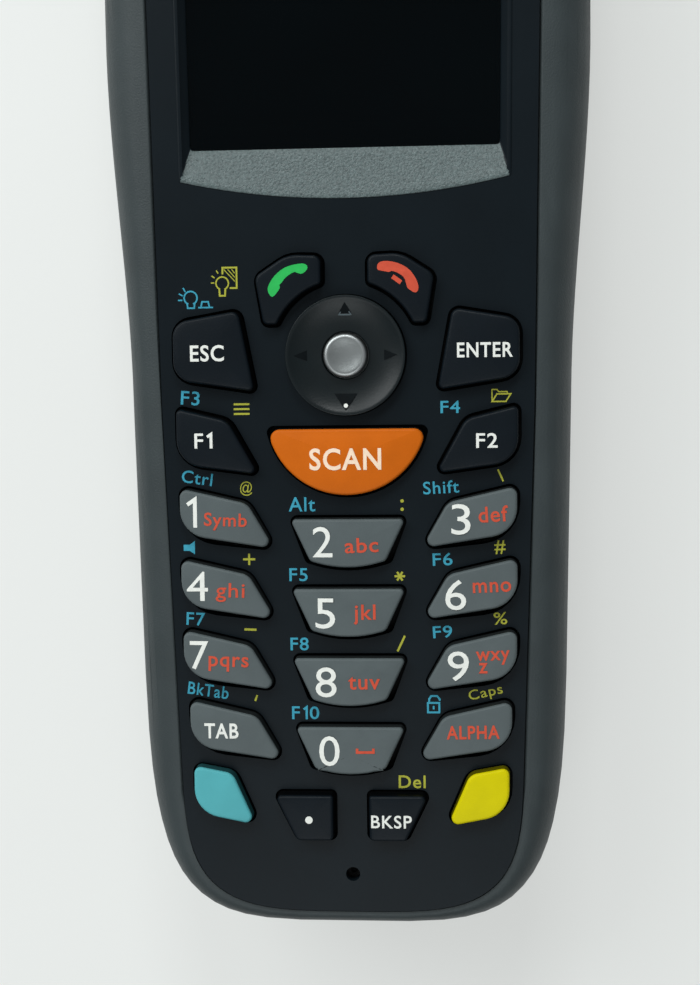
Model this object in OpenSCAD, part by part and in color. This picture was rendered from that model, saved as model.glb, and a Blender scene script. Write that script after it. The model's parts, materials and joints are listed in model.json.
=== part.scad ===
/* [Housing] */
// Length of the housing from the bottom end to the scanner end
body_length = 150; // [148:1:156]
// Width of the housing at the display
head_width = 55.6; // [55:0.2:60]
// Width of the housing at the keypad
grip_width = 51; // [50:0.2:54]
// Thickness from the flat back to the front panel
body_thick = 27; // [26:0.5:30]
// Depth of the widest line below the front panel
rim_depth = 6; // [4:0.5:8]
// How far the flat back lies inside the widest line
back_inset = 4.5; // [4:0.1:4.8]
// Outer wall of the housing
wall = 2; // [1.8:0.1:2.4]
// Width of the side band between the seam and the widest line at the keypad
band_grip = 4.35; // [4.2:0.05:4.5]
// Width of the side band at the display
band_head = 5.9; // [5:0.1:6.4]
// Width of the band at the two ends
band_end = 2.3; // [2:0.1:3]

// Depth of the finger groove across the back of the head
groove_depth = 3; // [0:0.5:3.5]
// Length of the finger groove
groove_length = 34; // [26:1:36]

/* [Front panel] */
// Thickness of the front panel
panel_thick = 1.8; // [1.6:0.1:2.2]
// Open seam between the front panel and the rim
seam_gap = 0.15; // [0.1:0.05:0.25]
// Thickness of the seal under the edge of the front panel
seal_thick = 0.6; // [0.4:0.1:0.8]
// Width of the seal
seal_width = 0.5; // [0.4:0.05:0.55]
// Thickness of the skirt behind the front panel
skirt_thick = 1; // [0.8:0.1:1.2]
// Height of the skirt behind the front panel
skirt_height = 3; // [2:0.5:4]
// Diameter of the microphone hole
microphone_hole_d = 1.65; // [1.2:0.05:2]
// Distance of the microphone hole from the bottom end
microphone_from_end = 6.7; // [6:0.1:7.2]

/* [Display] */
// Distance of the window that shows from the housing's side
window_side = 10; // [9.8:0.1:10.8]
// Distance of the window's upper edge from the scanner end
window_from_top = 12.2; // [11.4:0.1:13.2]
// Distance of the window's lower edge from the bottom end
window_from_end = 89.8; // [89.6:0.1:91]
// Width of the bezel beside the window
bezel_side = 1.4; // [1.3:0.05:1.7]
// Height of the lip below the window at its middle
lip_height = 5.7; // [5:0.1:6]
// Thickness of the window glass
window_thick = 0.8; // [0.7:0.1:1]
// How far the window runs under the bezel on each side
window_lap = 0.8; // [0.5:0.1:1]
// Thickness of the display module
lcd_thick = 2.6; // [2:0.1:3]

/* [Keypad] */
// Height of the key tops above the front panel
key_rise = 1.8; // [1.5:0.1:2.2]
// Travel of a key
key_travel = 0.5; // [0.3:0.1:0.6]
// Open gap around the navigation ring
ring_gap = 0.2; // [0.2:0.05:0.35]
// Open gap around each key
key_gap = 0.3; // [0.25:0.05:0.35]
// How far a key's flange reaches under the panel
flange_reach = 0.6; // [0.5:0.05:0.7]
// Thickness of a key's flange
flange_thick = 0.9; // [0.7:0.1:1]
// How much a key's edge lies below its middle
key_crown = 0.35; // [0.2:0.05:0.5]
// Distance of the first digit row's top edge from the bottom end
digits_from_end = 51.8; // [51.6:0.1:52]
// Pitch of the digit rows in the outer columns
row_pitch = 8.15; // [8.1:0.01:8.2]
// Pitch of the digit rows in the middle column
middle_pitch = 7.96; // [7.9:0.01:8]
// Distance of the navigation ring's centre from the bottom end
ring_from_end = 66.55; // [66.5:0.05:66.7]
// Diameter of the navigation ring
ring_d = 13.4; // [13:0.1:13.6]
// Diameter of the centre button
button_d = 4.9; // [4.6:0.1:5.2]
// Tilt of the navigation ring to each side in degrees
ring_tilt = 2; // [1:0.5:2.5]
// Diameter of the switch domes under the keys
dome_d = 3; // [2.4:0.1:3.4]

/* [Boards] */
// Thickness of the circuit boards
board_thick = 1.2; // [1:0.1:1.4]
// Thickness of the keypad mat
mat_thick = 0.5; // [0.4:0.1:0.6]
// Height of the domes above the mat
dome_height = 0.5; // [0.4:0.1:0.6]
// Distance of the main board's edge from the housing's side at the keypad
main_board_side = 7.5; // [7.3:0.1:8]

/* [Battery] */
// Width of the battery pack
battery_width = 34.6; // [33:0.2:35]
// Length of the battery pack
battery_length = 64; // [60:1:64]
// Thickness of the battery pack
battery_thick = 9.6; // [9:0.1:10]
// Open gap around the battery pack
battery_gap = 0.4; // [0.3:0.05:0.6]
// Thickness of the battery cover
cover_thick = 1.8; // [1.6:0.1:2]
// Gap around the battery cover
cover_gap = 0.25; // [0.2:0.05:0.3]
// Width of the battery cover
cover_width = 37.6; // [37:0.2:38]
// Distance of the cover's hinge line from the bottom end
hinge_from_end = 14; // [14:0.1:14.6]
// Diameter of the cover's hinge pins
hinge_pin_d = 1.6; // [1.4:0.1:1.8]
// Radial running clearance of the hinge pins
hinge_clear = 0.05; // [0.04:0.01:0.06]

/* [Scanner] */
// Distance of the scan window from the housing's side
scan_window_side = 12.3; // [12:0.1:14]
// Height of the scan window
scan_window_height = 12; // [11:0.5:13]
// Thickness of the scan window
scan_window_thick = 1.5; // [1.2:0.1:1.8]
// Height of the scan window's middle above the back
scan_axis_height = 13; // [12.5:0.1:13.5]
// Width of the scan engine
engine_width = 21; // [20:0.5:22]
// Height of the scan engine
engine_height = 11.6; // [11:0.1:12]
// Length of the scan engine
engine_length = 15; // [14:0.5:16]

/* [Sides and ends] */
// Length of a side scan key
side_key_length = 16; // [14:0.5:18]
// Height of a side scan key
side_key_height = 5.6; // [5:0.2:5.8]
// Distance of the side keys' middle from the scanner end
side_key_from_top = 31; // [29:1:33]
// How far the side keys stand out
side_key_rise = 0.6; // [0.4:0.1:0.8]
// Travel of the side keys
side_key_travel = 0.4; // [0.3:0.1:0.5]
// Width of the dock socket
socket_width = 20; // [18:0.5:20]
// Height of the dock socket
socket_height = 5; // [4.6:0.1:5.4]
// Depth of the dock socket
socket_depth = 3.8; // [3.6:0.1:4]
// Height of the dock socket's middle above the back
socket_axis_height = 13.5; // [13:0.1:14]
// Number of contacts in the dock socket
socket_contacts = 16; // [8:1:18]

/* [Screws] */
// Diameter of the screw thread
screw_d = 2; // [1.8:0.1:2.2]
// Diameter of the screw head
screw_head_d = 3.8; // [3.4:0.1:4]
// Distance of the screws from the middle at the bottom
screw_half_bottom = 14.6; // [14.2:0.1:14.8]
// Distance of the upper screws from the housing's side
screw_side_top = 11.2; // [11:0.1:11.8]
// Distance of the lower screws from the bottom end
screw_from_bottom = 9.5; // [9.4:0.1:9.8]
// Distance of the upper screws from the scanner end
screw_from_top = 8; // [7.5:0.1:8.5]

/* [Hidden] */
round_fn = 48;
bore_fn = 64;
slack = 0.1;
far = 1;

// Heights of the layers, from the back at zero to the front panel
front = body_thick;
panel_under = front - panel_thick;
ledge = panel_under - seal_thick;
rim_top = front - 0.3;
rim_land = 0.35;
widest = front - rim_depth;
flange_top = panel_under - slack;
flange_under = flange_top - flange_thick;
plunger_under = flange_under - 0.3;
dome_top = plunger_under - key_travel - slack;
mat_top = dome_top - dome_height;
keypad_board_top = mat_top - mat_thick;
keypad_board_under = keypad_board_top - board_thick;
cover_seat = cover_thick + slack;
battery_under = cover_seat + 0.2;
bay_top = battery_under + battery_thick + battery_gap;
deck_thick = 1.2;
deck_top = bay_top + deck_thick;
board_pad = 0.6;
main_board_under = deck_top + board_pad;
main_board_top = main_board_under + board_thick;

// Places along the housing, measured from its middle
bottom = -body_length / 2;
top = body_length / 2;
function from_bottom(d) = bottom + d;
window_low = from_bottom(window_from_end);
window_high = top - window_from_top;
window_height = window_high - window_low;
window_width = head_width - 2 * window_side;
bezel_width = window_width + 2 * bezel_side;
window_mid = (window_low + window_high) / 2;
bezel_high = window_high + 3.2;
lip_low = window_low - lip_height;
ring_y = from_bottom(ring_from_end);
digits_y = from_bottom(digits_from_end);
microphone_y = from_bottom(microphone_from_end);
hinge_y = from_bottom(hinge_from_end);
knuckle_r = cover_thick / 2 + 0.75;
bay_low = hinge_y + knuckle_r + 1.2;
bay_high = bay_low + battery_length + 2 * battery_gap;
cover_high = bay_high + 4;
head_floor_y = cover_high + cover_gap + wall;
side_key_y = top - side_key_from_top;
engine_high = top - 6;
head_floor = wall + groove_depth;
groove_low = cover_high + 3;
groove_high = groove_low + groove_length;
socket_floor = bottom + socket_depth;

// Outline of the housing seen from the front: a flared grip with two rounded ends
flare_low = from_bottom(61);
flare_high = from_bottom(103);
grip_taper = 0.02;
cavity_inset = slack + seal_width + 0.15;
bottom_round = 40;
top_round = 18;
bottom_power = 4.5;
top_power = 3.2;
seam_power = 3.8;
seam_bottom_round = 17.7;
seam_top_round = 15;

function clamp01(t) = min(1, max(0, t));
function smooth(t) = let (c = clamp01(t)) c * c * (3 - 2 * c);
function widest_half(y) = grip_width / 2 + (head_width - grip_width) / 2
  * smooth((y - flare_low) / (flare_high - flare_low)) - grip_taper * max(0, flare_low - y);
seam_taper = 0.034;
function seam_half(y) = widest_half(flare_low) - band_grip + (y < flare_low ? seam_taper * (y - flare_low)
  : ((head_width - grip_width) / 2 - band_head + band_grip) * (y - flare_low) / (flare_high - flare_low));

// A point of a rounded end, where turn runs from 0 at the side to 90 at the tip
function end_along(turn, power, step) = pow(sin(turn) / cos(step / 2), 2 / power);
function end_across(turn, power) = pow(max(0, cos(turn)), 2 / power);

// Right-hand side of an outline from the bottom tip to the top tip
function right_side(kind, inset, step) =
  let (
    ends = kind == 0 ? band_end : 0,
    low_power = kind == 0 ? seam_power : bottom_power,
    high_power = kind == 0 ? seam_power : top_power,
    low_round = kind == 0 ? seam_bottom_round : bottom_round,
    high_round = kind == 0 ? seam_top_round : top_round,
    low = bottom + ends + low_round,
    high = top - ends - high_round)
  [
    for (turn = [90 - step / 2:-step:step / 2])
      let (y = low - (low_round - inset) * end_along(turn, low_power, step))
      [(side_half(kind, y) - inset) * end_across(turn, low_power), y],
    for (k = [0:180 / step])
      let (y = low + (high - low) * k * step / 180)
      [side_half(kind, y) - inset, y],
    for (turn = [step / 2:step:90 - step / 2])
      let (y = high + (high_round - inset) * end_along(turn, high_power, step))
      [(side_half(kind, y) - inset) * end_across(turn, high_power), y]
  ];
function side_half(kind, y) = kind == 0 ? seam_half(y) : widest_half(y);

function mirrored(points) = [for (i = [len(points) - 1:-1:0]) [-points[i][0], points[i][1]]];
function outline(kind, inset, step) =
  let (right = right_side(kind, inset, step)) concat(right, mirrored(right));
loft_step = 6;
panel_step = 5;

// The point of the seam's outline, moved outwards, that lies beside a point of the widest outline
function rim_point(p, out) =
  let (
    low = bottom + band_end + seam_bottom_round,
    high = top - band_end - seam_top_round,
    start = min(high, max(low, p[1])),
    round = p[1] < low ? -seam_bottom_round - out : seam_top_round + out,
    half = seam_half(p[1]) + out,
    turn = atan(pow(half * abs(p[1] - start) / (abs(round) * p[0]), seam_power / 2)),
    y = start + round * pow(sin(turn), 2 / seam_power))
  [(seam_half(y) + out) * pow(cos(turn), 2 / seam_power), y];
function rim_outline(out) =
  let (right = [for (p = right_side(1, 0, loft_step)) rim_point(p, out)]) concat(right, mirrored(right));

module seam_shape(inset) {
  polygon(outline(0, inset, panel_step));
}

// Closed skin through a list of rings that all have the same number of points
module skin(rings) {
  n = len(rings[0]);
  half = n / 2;
  last = len(rings) - 1;
  faces = [
    for (i = [0:half - 2]) each [[i, i + 1, n - 2 - i], [i, n - 2 - i, n - 1 - i]],
    for (r = [0:last - 1]) for (i = [0:n - 1]) let (j = (i + 1) % n, a = r * n, b = a + n)
      each [[a + i, b + i, b + j], [a + i, b + j, a + j]],
    for (i = [0:half - 2]) let (a = last * n)
      each [[a + i + 1, a + i, a + n - 1 - i], [a + i + 1, a + n - 1 - i, a + n - 2 - i]]
  ];
  polyhedron([for (ring = rings) each ring], faces);
}

// Rings of the housing from the back to the rim
back_turns = [0:15:90];
band_turns = [75:-15:0];
back_round = 7;
side_draft = 0.8;
function groove(y) =
  groove_depth * (1 - cos(360 * clamp01((y - groove_low) / (groove_high - groove_low)))) / 2;
function level(points, z) = [for (p = points) [p[0], p[1], z + groove(p[1]) * max(0, 1 - z / widest)]];
function blend(a, b, t) = [for (i = [0:len(a) - 1]) a[i] * (1 - t) + b[i] * t];
function housing_rings() =
  let (
    rim = rim_outline(seam_gap + rim_land),
    broad = outline(1, 0, loft_step))
  [
    for (turn = back_turns)
      level(outline(1, side_draft + (back_inset - side_draft) * (1 - sin(turn)), loft_step),
        back_round * (1 - cos(turn))),
    level(broad, widest),
    for (turn = band_turns)
      level(blend(rim, broad, sin(turn)), widest + (rim_top - widest) * cos(turn))
  ];

// Rounded outlines: each point is [x, y, corner radius], anticlockwise and with no inward corner
function unit(v) = v / norm(v);
function turned(v, angle) = [v[0] * cos(angle) - v[1] * sin(angle), v[0] * sin(angle) + v[1] * cos(angle)];
function corner(points, i) =
  let (
    n = len(points),
    here = [points[i][0], points[i][1]],
    before = points[(i + n - 1) % n],
    after = points[(i + 1) % n],
    a = unit([before[0], before[1]] - here),
    b = unit([after[0], after[1]] - here),
    half = acos(a * b) / 2,
    r = points[i][2],
    turn = 180 - 2 * half,
    steps = r < 0.2 ? 0 : max(2, ceil(turn / (r > 5 ? 3 : 15))),
    centre = here + unit(a + b) * r / sin(half),
    first = here + a * r / tan(half) - centre)
  steps == 0 ? [here] : [for (k = [0:steps]) centre + turned(first, turn * k / steps)];
module rounded(points) {
  polygon([for (i = [0:len(points) - 1]) each corner(points, i)]);
}

// The same outline moved outwards by d on every side
function outward(a, b) = let (v = unit(b - a)) [v[1], -v[0]];
function grown(points, d) =
  [
    for (i = [0:len(points) - 1])
      let (
        n = len(points),
        here = [points[i][0], points[i][1]],
        before = [points[(i + n - 1) % n][0], points[(i + n - 1) % n][1]],
        after = [points[(i + 1) % n][0], points[(i + 1) % n][1]],
        u = outward(before, here),
        v = outward(here, after),
        q = here + (u + v) * d / (1 + u * v))
      [q[0], q[1], points[i][2] + d]
  ];
function flipped(points) = [for (i = [len(points) - 1:-1:0]) [-points[i][0], points[i][1], points[i][2]]];
function on_side(points, side) = side > 0 ? points : flipped(points);
function raised(points, y) = [for (p = points) [p[0], p[1] + y, p[2]]];
function box_points(w, low, high, r) =
  [[w / 2, high, r], [-w / 2, high, r], [-w / 2, low, r], [w / 2, low, r]];

// Key outlines. Those of the outer columns are drawn for the right-hand side
wing_reach = 10.85;
wing_height = 7.2;
function wing_outline(outer) = [
  [outer, 0, 0.9],
  [outer - 7.8, -1.85, 2],
  [outer - wing_reach, -wing_height, 0.8],
  [outer, -6, 4.4]
];
function middle_outline(half) = [
  [half, 0, 0.5],
  [-half, 0, 0.5],
  [-half + 1.85, -4.95, 0.5],
  [0, -6.3, 13],
  [half - 1.85, -4.95, 0.5]
];
escape_outline = [[19.6, -4.5, 2], [12, -3.2, 1], [10.25, -12.5, 0.6], [19.6, -11.05, 2.4]];
function_outline = [[19.4, -14.15, 0.6], [13.4, -15.6, 2.2], [9.9, -21.9, 0.6], [19.4, -20.6, 3.2]];
colour_outline = [[18.15, -55.4, 0.8], [13.5, -56.3, 1.6], [10.85, -62.35, 0.8], [18.15, -60.8, 3.4]];
foot_outline = [[8.95, -58.65, 0.6], [2, -58.65, 0.4], [2, -64.05, 0.6], [6.3, -64.05, 0.7]];
call_outline = [[2.55, 2.8, 1], [2.55, -4.95, 0], [9.25, -4.95, 0.7], [10.15, 0.5, 1.2], [6.4, 2.95, 4]];
call_inner_r = 8.4;
call_tip_r = 0.5;
scan_r = 9.1;
scan_centre_y = -15.16;
scan_top_y = -16.65;
key_shift = bottom + 75;

// Name, colour, kind of outline and its points in the housing's own frame
wing_halves = [19.2, 19.2, 19.1, 18.5];
middle_halves = [6.55, 6.5, 6.5, 6.3];
wing_names = [["key_1", "key_3"], ["key_4", "key_6"], ["key_7", "key_9"], ["key_tab", "key_alpha"]];
middle_names = ["key_2", "key_5", "key_8", "key_0"];
function wing_rows() = [
  for (row = [0:3]) for (side = [0:1])
    [wing_names[row][side], "gray", "plain",
      on_side(raised(wing_outline(wing_halves[row]), digits_y - row * row_pitch), side == 0 ? -1 : 1)]
];
function middle_rows() = [
  for (row = [0:3])
    [middle_names[row], "gray", "plain",
      raised(middle_outline(middle_halves[row]), digits_y - 3.65 - row * middle_pitch)]
];
KEYS = concat(
  [
    ["key_call", "dimgray", "call", on_side(raised(call_outline, key_shift), -1)],
    ["key_end", "dimgray", "call", on_side(raised(call_outline, key_shift), 1)],
    ["key_escape", "dimgray", "plain", on_side(raised(escape_outline, key_shift), -1)],
    ["key_enter", "dimgray", "plain", on_side(raised(escape_outline, key_shift), 1)],
    ["key_f1", "dimgray", "plain", on_side(raised(function_outline, key_shift), -1)],
    ["key_f2", "dimgray", "plain", on_side(raised(function_outline, key_shift), 1)],
    ["key_scan", "darkorange", "scan", box_points(2 * scan_r, 0, 0, 0)]
  ],
  wing_rows(),
  middle_rows(),
  [
    ["key_blue", "cadetblue", "plain", on_side(raised(colour_outline, key_shift), -1)],
    ["key_yellow", "gold", "plain", on_side(raised(colour_outline, key_shift), 1)],
    ["key_dot", "dimgray", "plain", on_side(raised(foot_outline, key_shift), -1)],
    ["key_backspace", "dimgray", "plain", on_side(raised(foot_outline, key_shift), 1)]
  ]
);

// A call key's outline for the right-hand side, moved outwards by d: its lower edge follows the ring
function on_circle(centre, r, from, to, steps) =
  [for (k = [0:steps]) let (a = from + (to - from) * k / steps) centre + [r * cos(a), r * sin(a)]];
function call_points(d) =
  let (
    points = grown(raised(call_outline, key_shift), d),
    across = call_outline[1][0] + call_tip_r,
    up = call_outline[1][1] + call_tip_r + key_shift - ring_y,
    reach = call_inner_r + call_tip_r,
    near = [across, sqrt(pow(reach, 2) - pow(across, 2))],
    away = [sqrt(pow(reach, 2) - pow(up, 2)), up],
    first = atan2(near[1], near[0]),
    last = atan2(away[1], away[0]))
  concat(
    on_circle(near + [0, ring_y], call_tip_r + d, 180, 180 + first, 5),
    on_circle([0, ring_y], call_inner_r - d, first - 2, last + 2, 24),
    on_circle(away + [0, ring_y], call_tip_r + d, 180 + last, 270, 5),
    [for (i = [2, 3, 4, 0]) each corner(points, i)]);

// A key's outline moved outwards by d
module key_shape(key, d) {
  if (key[2] == "scan") {
    intersection() {
      translate([0, scan_centre_y + key_shift]) circle(r = scan_r + d, $fn = 96);
      rounded(box_points(2 * (sqrt(pow(scan_r, 2) - pow(scan_top_y - scan_centre_y, 2)) - 0.1 + d),
        scan_centre_y - scan_r - far + key_shift, scan_top_y + d + key_shift, 0.8));
    }
  } else if (key[2] == "call") {
    let (points = call_points(d)) polygon(key[3][0][0] > 0 ? points : mirrored(points));
  } else {
    rounded(grown(key[3], d));
  }
}
function mean(values, i = 0) = i == len(values) ? 0 : values[i] / len(values) + mean(values, i + 1);
function key_middle(key) =
  key[2] == "scan" ? [0, scan_top_y - 3.4 + key_shift] :
  key[2] == "call" ? [sign(key[3][0][0]) * 6.9, 0.6 + key_shift] :
  [mean([for (p = key[3]) p[0]]), mean([for (p = key[3]) p[1]])];

// Places of the posts that hold the keypad board under the front panel
post_r = 1;
post_x = 8.65;
post_rows = [digits_y - 9.3, digits_y - 9.3 - 2 * row_pitch];
upper_post = [15.2, from_bottom(78.5)];
posts = concat(
  [for (y = post_rows) for (s = [-1, 1]) [s * post_x, y]],
  [for (s = [-1, 1]) [s * upper_post[0], upper_post[1]]]
);
screws = [
  for (s = [-1, 1]) [s * screw_half_bottom, bottom + screw_from_bottom],
  for (s = [-1, 1]) [s * (head_width / 2 - screw_side_top), top - screw_from_top]
];
screw_boss_r = screw_d / 2 + 1.1;
screw_seat = 4;
screw_length = deck_top - screw_seat + 8;

module crown(height, r) {
  rise = key_crown / pow(r, 2);
  rotate_extrude($fn = 96)
    polygon(concat([[0, -far]], [[2 * r, -far]],
      [for (k = [8:-1:1]) [2 * r * k / 8, height - rise * pow(2 * r * k / 8, 2)]], [[0, height]]));
}
module key_cap(key) {
  middle = key_middle(key);
  color(key[1]) union() {
    intersection() {
      translate([0, 0, flange_under])
        linear_extrude(front + key_rise + far - flange_under) key_shape(key, 0);
      translate([middle[0], middle[1], flange_under])
        crown(front + key_rise - flange_under, 6);
    }
    translate([0, 0, flange_under]) linear_extrude(flange_thick) intersection() {
      key_shape(key, flange_reach);
      seam_shape(cavity_inset + slack);
    }
    translate([middle[0], middle[1], plunger_under])
      cylinder(d = dome_d - 1, h = flange_under - plunger_under + 0.2, $fn = bore_fn);
  }
}

ring_r = ring_d / 2;
button_r = button_d / 2;
ring_flange_r = ring_r + 0.5;
ring_drop = ring_flange_r * sin(1.5 * ring_tilt) + slack;
ring_flange_top = panel_under - ring_drop;
ring_flange_under = ring_flange_top - 0.7;
carrier_top = ring_flange_under - ring_drop;
carrier_thick = 0.4;
gimbal_z = ring_flange_under;
gimbal_pin_r = 0.35;
gimbal_clear = 0.05;
gimbal_ear_in = ring_flange_r + 0.35;
gimbal_ear_out = gimbal_ear_in + 0.7;
gimbal_lug_in = gimbal_ear_out + 0.2;
gimbal_lug_out = gimbal_lug_in + 1.1;
gimbal_lug_x = (gimbal_lug_in + gimbal_lug_out) / 2;
lug_high = panel_under + slack + 0.6 - gimbal_z;
button_flange_r = button_r + 0.75;
button_flange_top = front - 0.9;

module navigation_ring() {
  color("dimgray") translate([0, ring_y, 0]) difference() {
    rotate_extrude($fn = 96) polygon([
      [button_r + 0.3, front + 0.7],
      [button_r + 1, front + 0.62],
      [ring_r - 1.6, front + 0.95],
      [ring_r - 0.5, front + 1.4],
      [ring_r - 0.1, front + 1.3],
      [ring_r, front + 1],
      [ring_r, ring_flange_top],
      [ring_flange_r, ring_flange_top],
      [ring_flange_r, ring_flange_under],
      [button_flange_r + 0.35, ring_flange_under],
      [button_flange_r + 0.35, button_flange_top + 0.25],
      [button_r + 0.3, button_flange_top + 0.25]
    ]);
    for (s = [-1, 1]) translate([0, s * (ring_r - 1.75), gimbal_z]) rotate([90, 0, 0])
      cylinder(r = gimbal_pin_r + gimbal_clear, h = 3, center = true, $fn = 24);
  }
}
module navigation_button() {
  color("silver") translate([0, ring_y, 0]) rotate_extrude($fn = 96)
    polygon([
      [0, front + 1.75],
      [button_r * 0.4, front + 1.7],
      [button_r * 0.75, front + 1.52],
      [button_r * 0.94, front + 1.3],
      [button_r, front + 1.05],
      [button_r, button_flange_top],
      [button_flange_r, button_flange_top],
      [button_flange_r, button_flange_top - 0.8],
      [dome_d / 2 - 0.5, button_flange_top - 0.8],
      [dome_d / 2 - 0.5, plunger_under],
      [0, plunger_under]
    ]);
}
module navigation_carrier() {
  under = carrier_top - carrier_thick;
  color("black") translate([0, ring_y, 0]) difference() {
    union() {
      translate([0, 0, under]) cylinder(r = ring_r, h = carrier_thick, $fn = 96);
      for (s = [-1, 1]) mirror([s < 0 ? 1 : 0, 0, 0]) {
        translate([ring_r - 1, -0.6, under]) cube([gimbal_ear_out - ring_r + 1, 1.2, carrier_thick]);
        translate([gimbal_ear_in, -0.6, under])
          cube([gimbal_ear_out - gimbal_ear_in, 1.2, gimbal_z + gimbal_pin_r + 0.1 - under]);
        translate([gimbal_ear_in + 0.1, 0, gimbal_z]) rotate([0, 90, 0])
          cylinder(r = gimbal_pin_r, h = gimbal_lug_out - gimbal_ear_in - 0.2, $fn = 24);
      }
      for (s = [-1, 1]) translate([0, s * (ring_r - 1.7), gimbal_z]) {
        rotate([90, 0, 0]) cylinder(r = gimbal_pin_r, h = 2.4, center = true, $fn = 24);
        translate([-0.25, -1.2, under - gimbal_z + 0.1]) cube([0.5, 2.4, gimbal_z - under - 0.1]);
      }
    }
    translate([0, 0, under - far]) cylinder(r = button_flange_r, h = carrier_thick + 2 * far, $fn = bore_fn);
  }
}

// Bezel outline: straight sides, rounded top corners and a gently curved lower lip
lip_fall = 4;
lip_corner = bezel_width / 2 - 0.6;
lip_r = (norm([lip_corner, lip_fall]) - 2.2) * lip_corner / lip_fall;
bezel_points = [
  [bezel_width / 2, bezel_high, 2.5],
  [-bezel_width / 2, bezel_high, 2.5],
  [-lip_corner, lip_low + 2.3, 1],
  [0, lip_low + 2.3 - lip_fall, lip_r],
  [lip_corner, lip_low + 2.3, 1]
];
bezel_depth = panel_thick - window_thick;
window_points = box_points(
  window_width + 2 * window_lap, window_low - window_lap, window_high + window_lap, 1);
lcd_top = panel_under - slack;
lcd_width = window_width + 1;
lcd_height = window_height + 1.4;
lcd_points = box_points(lcd_width, window_mid - lcd_height / 2, window_mid + lcd_height / 2, 0.6);

// Four-sided funnel between a low rectangle and a high one, each [x half, y low, y high, z]
module funnel(low, high) {
  polyhedron(
    [
      for (end = [low, high]) each [
        [-end[0], end[1], end[3]], [end[0], end[1], end[3]], [end[0], end[2], end[3]], [-end[0], end[2], end[3]]]
    ],
    [[0, 1, 2, 3], [7, 6, 5, 4], [0, 4, 5, 1], [1, 5, 6, 2], [2, 6, 7, 3], [3, 7, 4, 0]]);
}
module display_bezel() {
  inner = window_width / 2;
  seat = front - bezel_depth;
  spread = bezel_width / 2 - 0.35 - inner;
  color("dimgray") difference() {
    translate([0, 0, seat]) linear_extrude(bezel_depth + 0.15) rounded(bezel_points);
    funnel([inner, window_low, window_high, seat - slack],
      [inner + spread * 1.1, window_low - 3.3, window_high + spread * 1.5, front + 0.25]);
  }
}
module display_window() {
  color("darkslategray") translate([0, 0, panel_under]) linear_extrude(window_thick) rounded(window_points);
}
module lcd_module() {
  color("slategray") translate([0, 0, lcd_top - lcd_thick]) difference() {
    linear_extrude(lcd_thick) rounded(lcd_points);
    translate([0, window_mid + 1.5, lcd_thick - 0.15])
      linear_extrude(far) square([window_width - 1.4, window_height - 2.8], center = true);
  }
}

earpiece_y = bezel_high + 2.6;
earpiece_width = 10;
lamp_x = 11.5;
lamp_d = 2;
module front_housing() {
  color([0.13, 0.14, 0.14]) difference() {
    union() {
      translate([0, 0, panel_under]) linear_extrude(panel_thick) seam_shape(0);
      translate([0, 0, panel_under - skirt_height]) linear_extrude(skirt_height + slack) difference() {
        seam_shape(cavity_inset + 0.2);
        seam_shape(cavity_inset + 0.2 + skirt_thick);
        translate([-head_width / 2, bottom]) square([head_width, keypad_high + 0.5 - bottom]);
      }
      translate([0, 0, lcd_top - lcd_thick]) linear_extrude(lcd_thick + 2 * slack) difference() {
        rounded(grown(lcd_points, 1));
        rounded(grown(lcd_points, 0.2));
      }
      for (p = screws) translate([p[0], p[1], deck_top])
        cylinder(r = screw_boss_r, h = panel_under - deck_top + slack, $fn = bore_fn);
      for (p = posts) translate([p[0], p[1], keypad_board_top])
        cylinder(r = post_r, h = panel_under - keypad_board_top + slack, $fn = bore_fn);
      for (s = [-1, 1]) translate([s * gimbal_lug_x, ring_y, gimbal_z - 0.6]) linear_extrude(lug_high)
        square([gimbal_lug_out - gimbal_lug_in, 2], center = true);
    }
    for (s = [-1, 1]) translate([s * gimbal_lug_x, ring_y, gimbal_z]) rotate([0, 90, 0])
      cylinder(r = gimbal_pin_r + gimbal_clear, h = 2, center = true, $fn = 24);
    for (key = KEYS) translate([0, 0, panel_under - far])
      linear_extrude(panel_thick + 2 * far) key_shape(key, key_gap);
    translate([0, ring_y, panel_under - far])
      cylinder(r = ring_r + ring_gap, h = panel_thick + 2 * far, $fn = 96);
    translate([0, 0, front - bezel_depth]) linear_extrude(panel_thick) rounded(grown(bezel_points, 0.1));
    translate([0, 0, panel_under - far]) linear_extrude(panel_thick + far) rounded(grown(window_points, 0.12));
    translate([0, microphone_y, panel_under - far])
      cylinder(d = microphone_hole_d, h = panel_thick + 2 * far, $fn = bore_fn);
    translate([0, 0, panel_under - far]) linear_extrude(panel_thick + 2 * far)
      rounded(box_points(earpiece_width, earpiece_y - 0.6, earpiece_y + 0.6, 0.5));
    for (s = [-1, 1]) translate([s * lamp_x, earpiece_y, panel_under - far])
      cylinder(d = lamp_d + 0.1, h = panel_thick + 2 * far, $fn = bore_fn);
    for (p = screws) translate([p[0], p[1], deck_top - far])
      cylinder(d = screw_d + 0.04, h = screw_seat + screw_length + 1.6 - deck_top + far, $fn = bore_fn);
  }
}
module panel_seal() {
  color("black") translate([0, 0, ledge]) linear_extrude(seal_thick) difference() {
    seam_shape(slack);
    seam_shape(slack + seal_width);
  }
}

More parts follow.
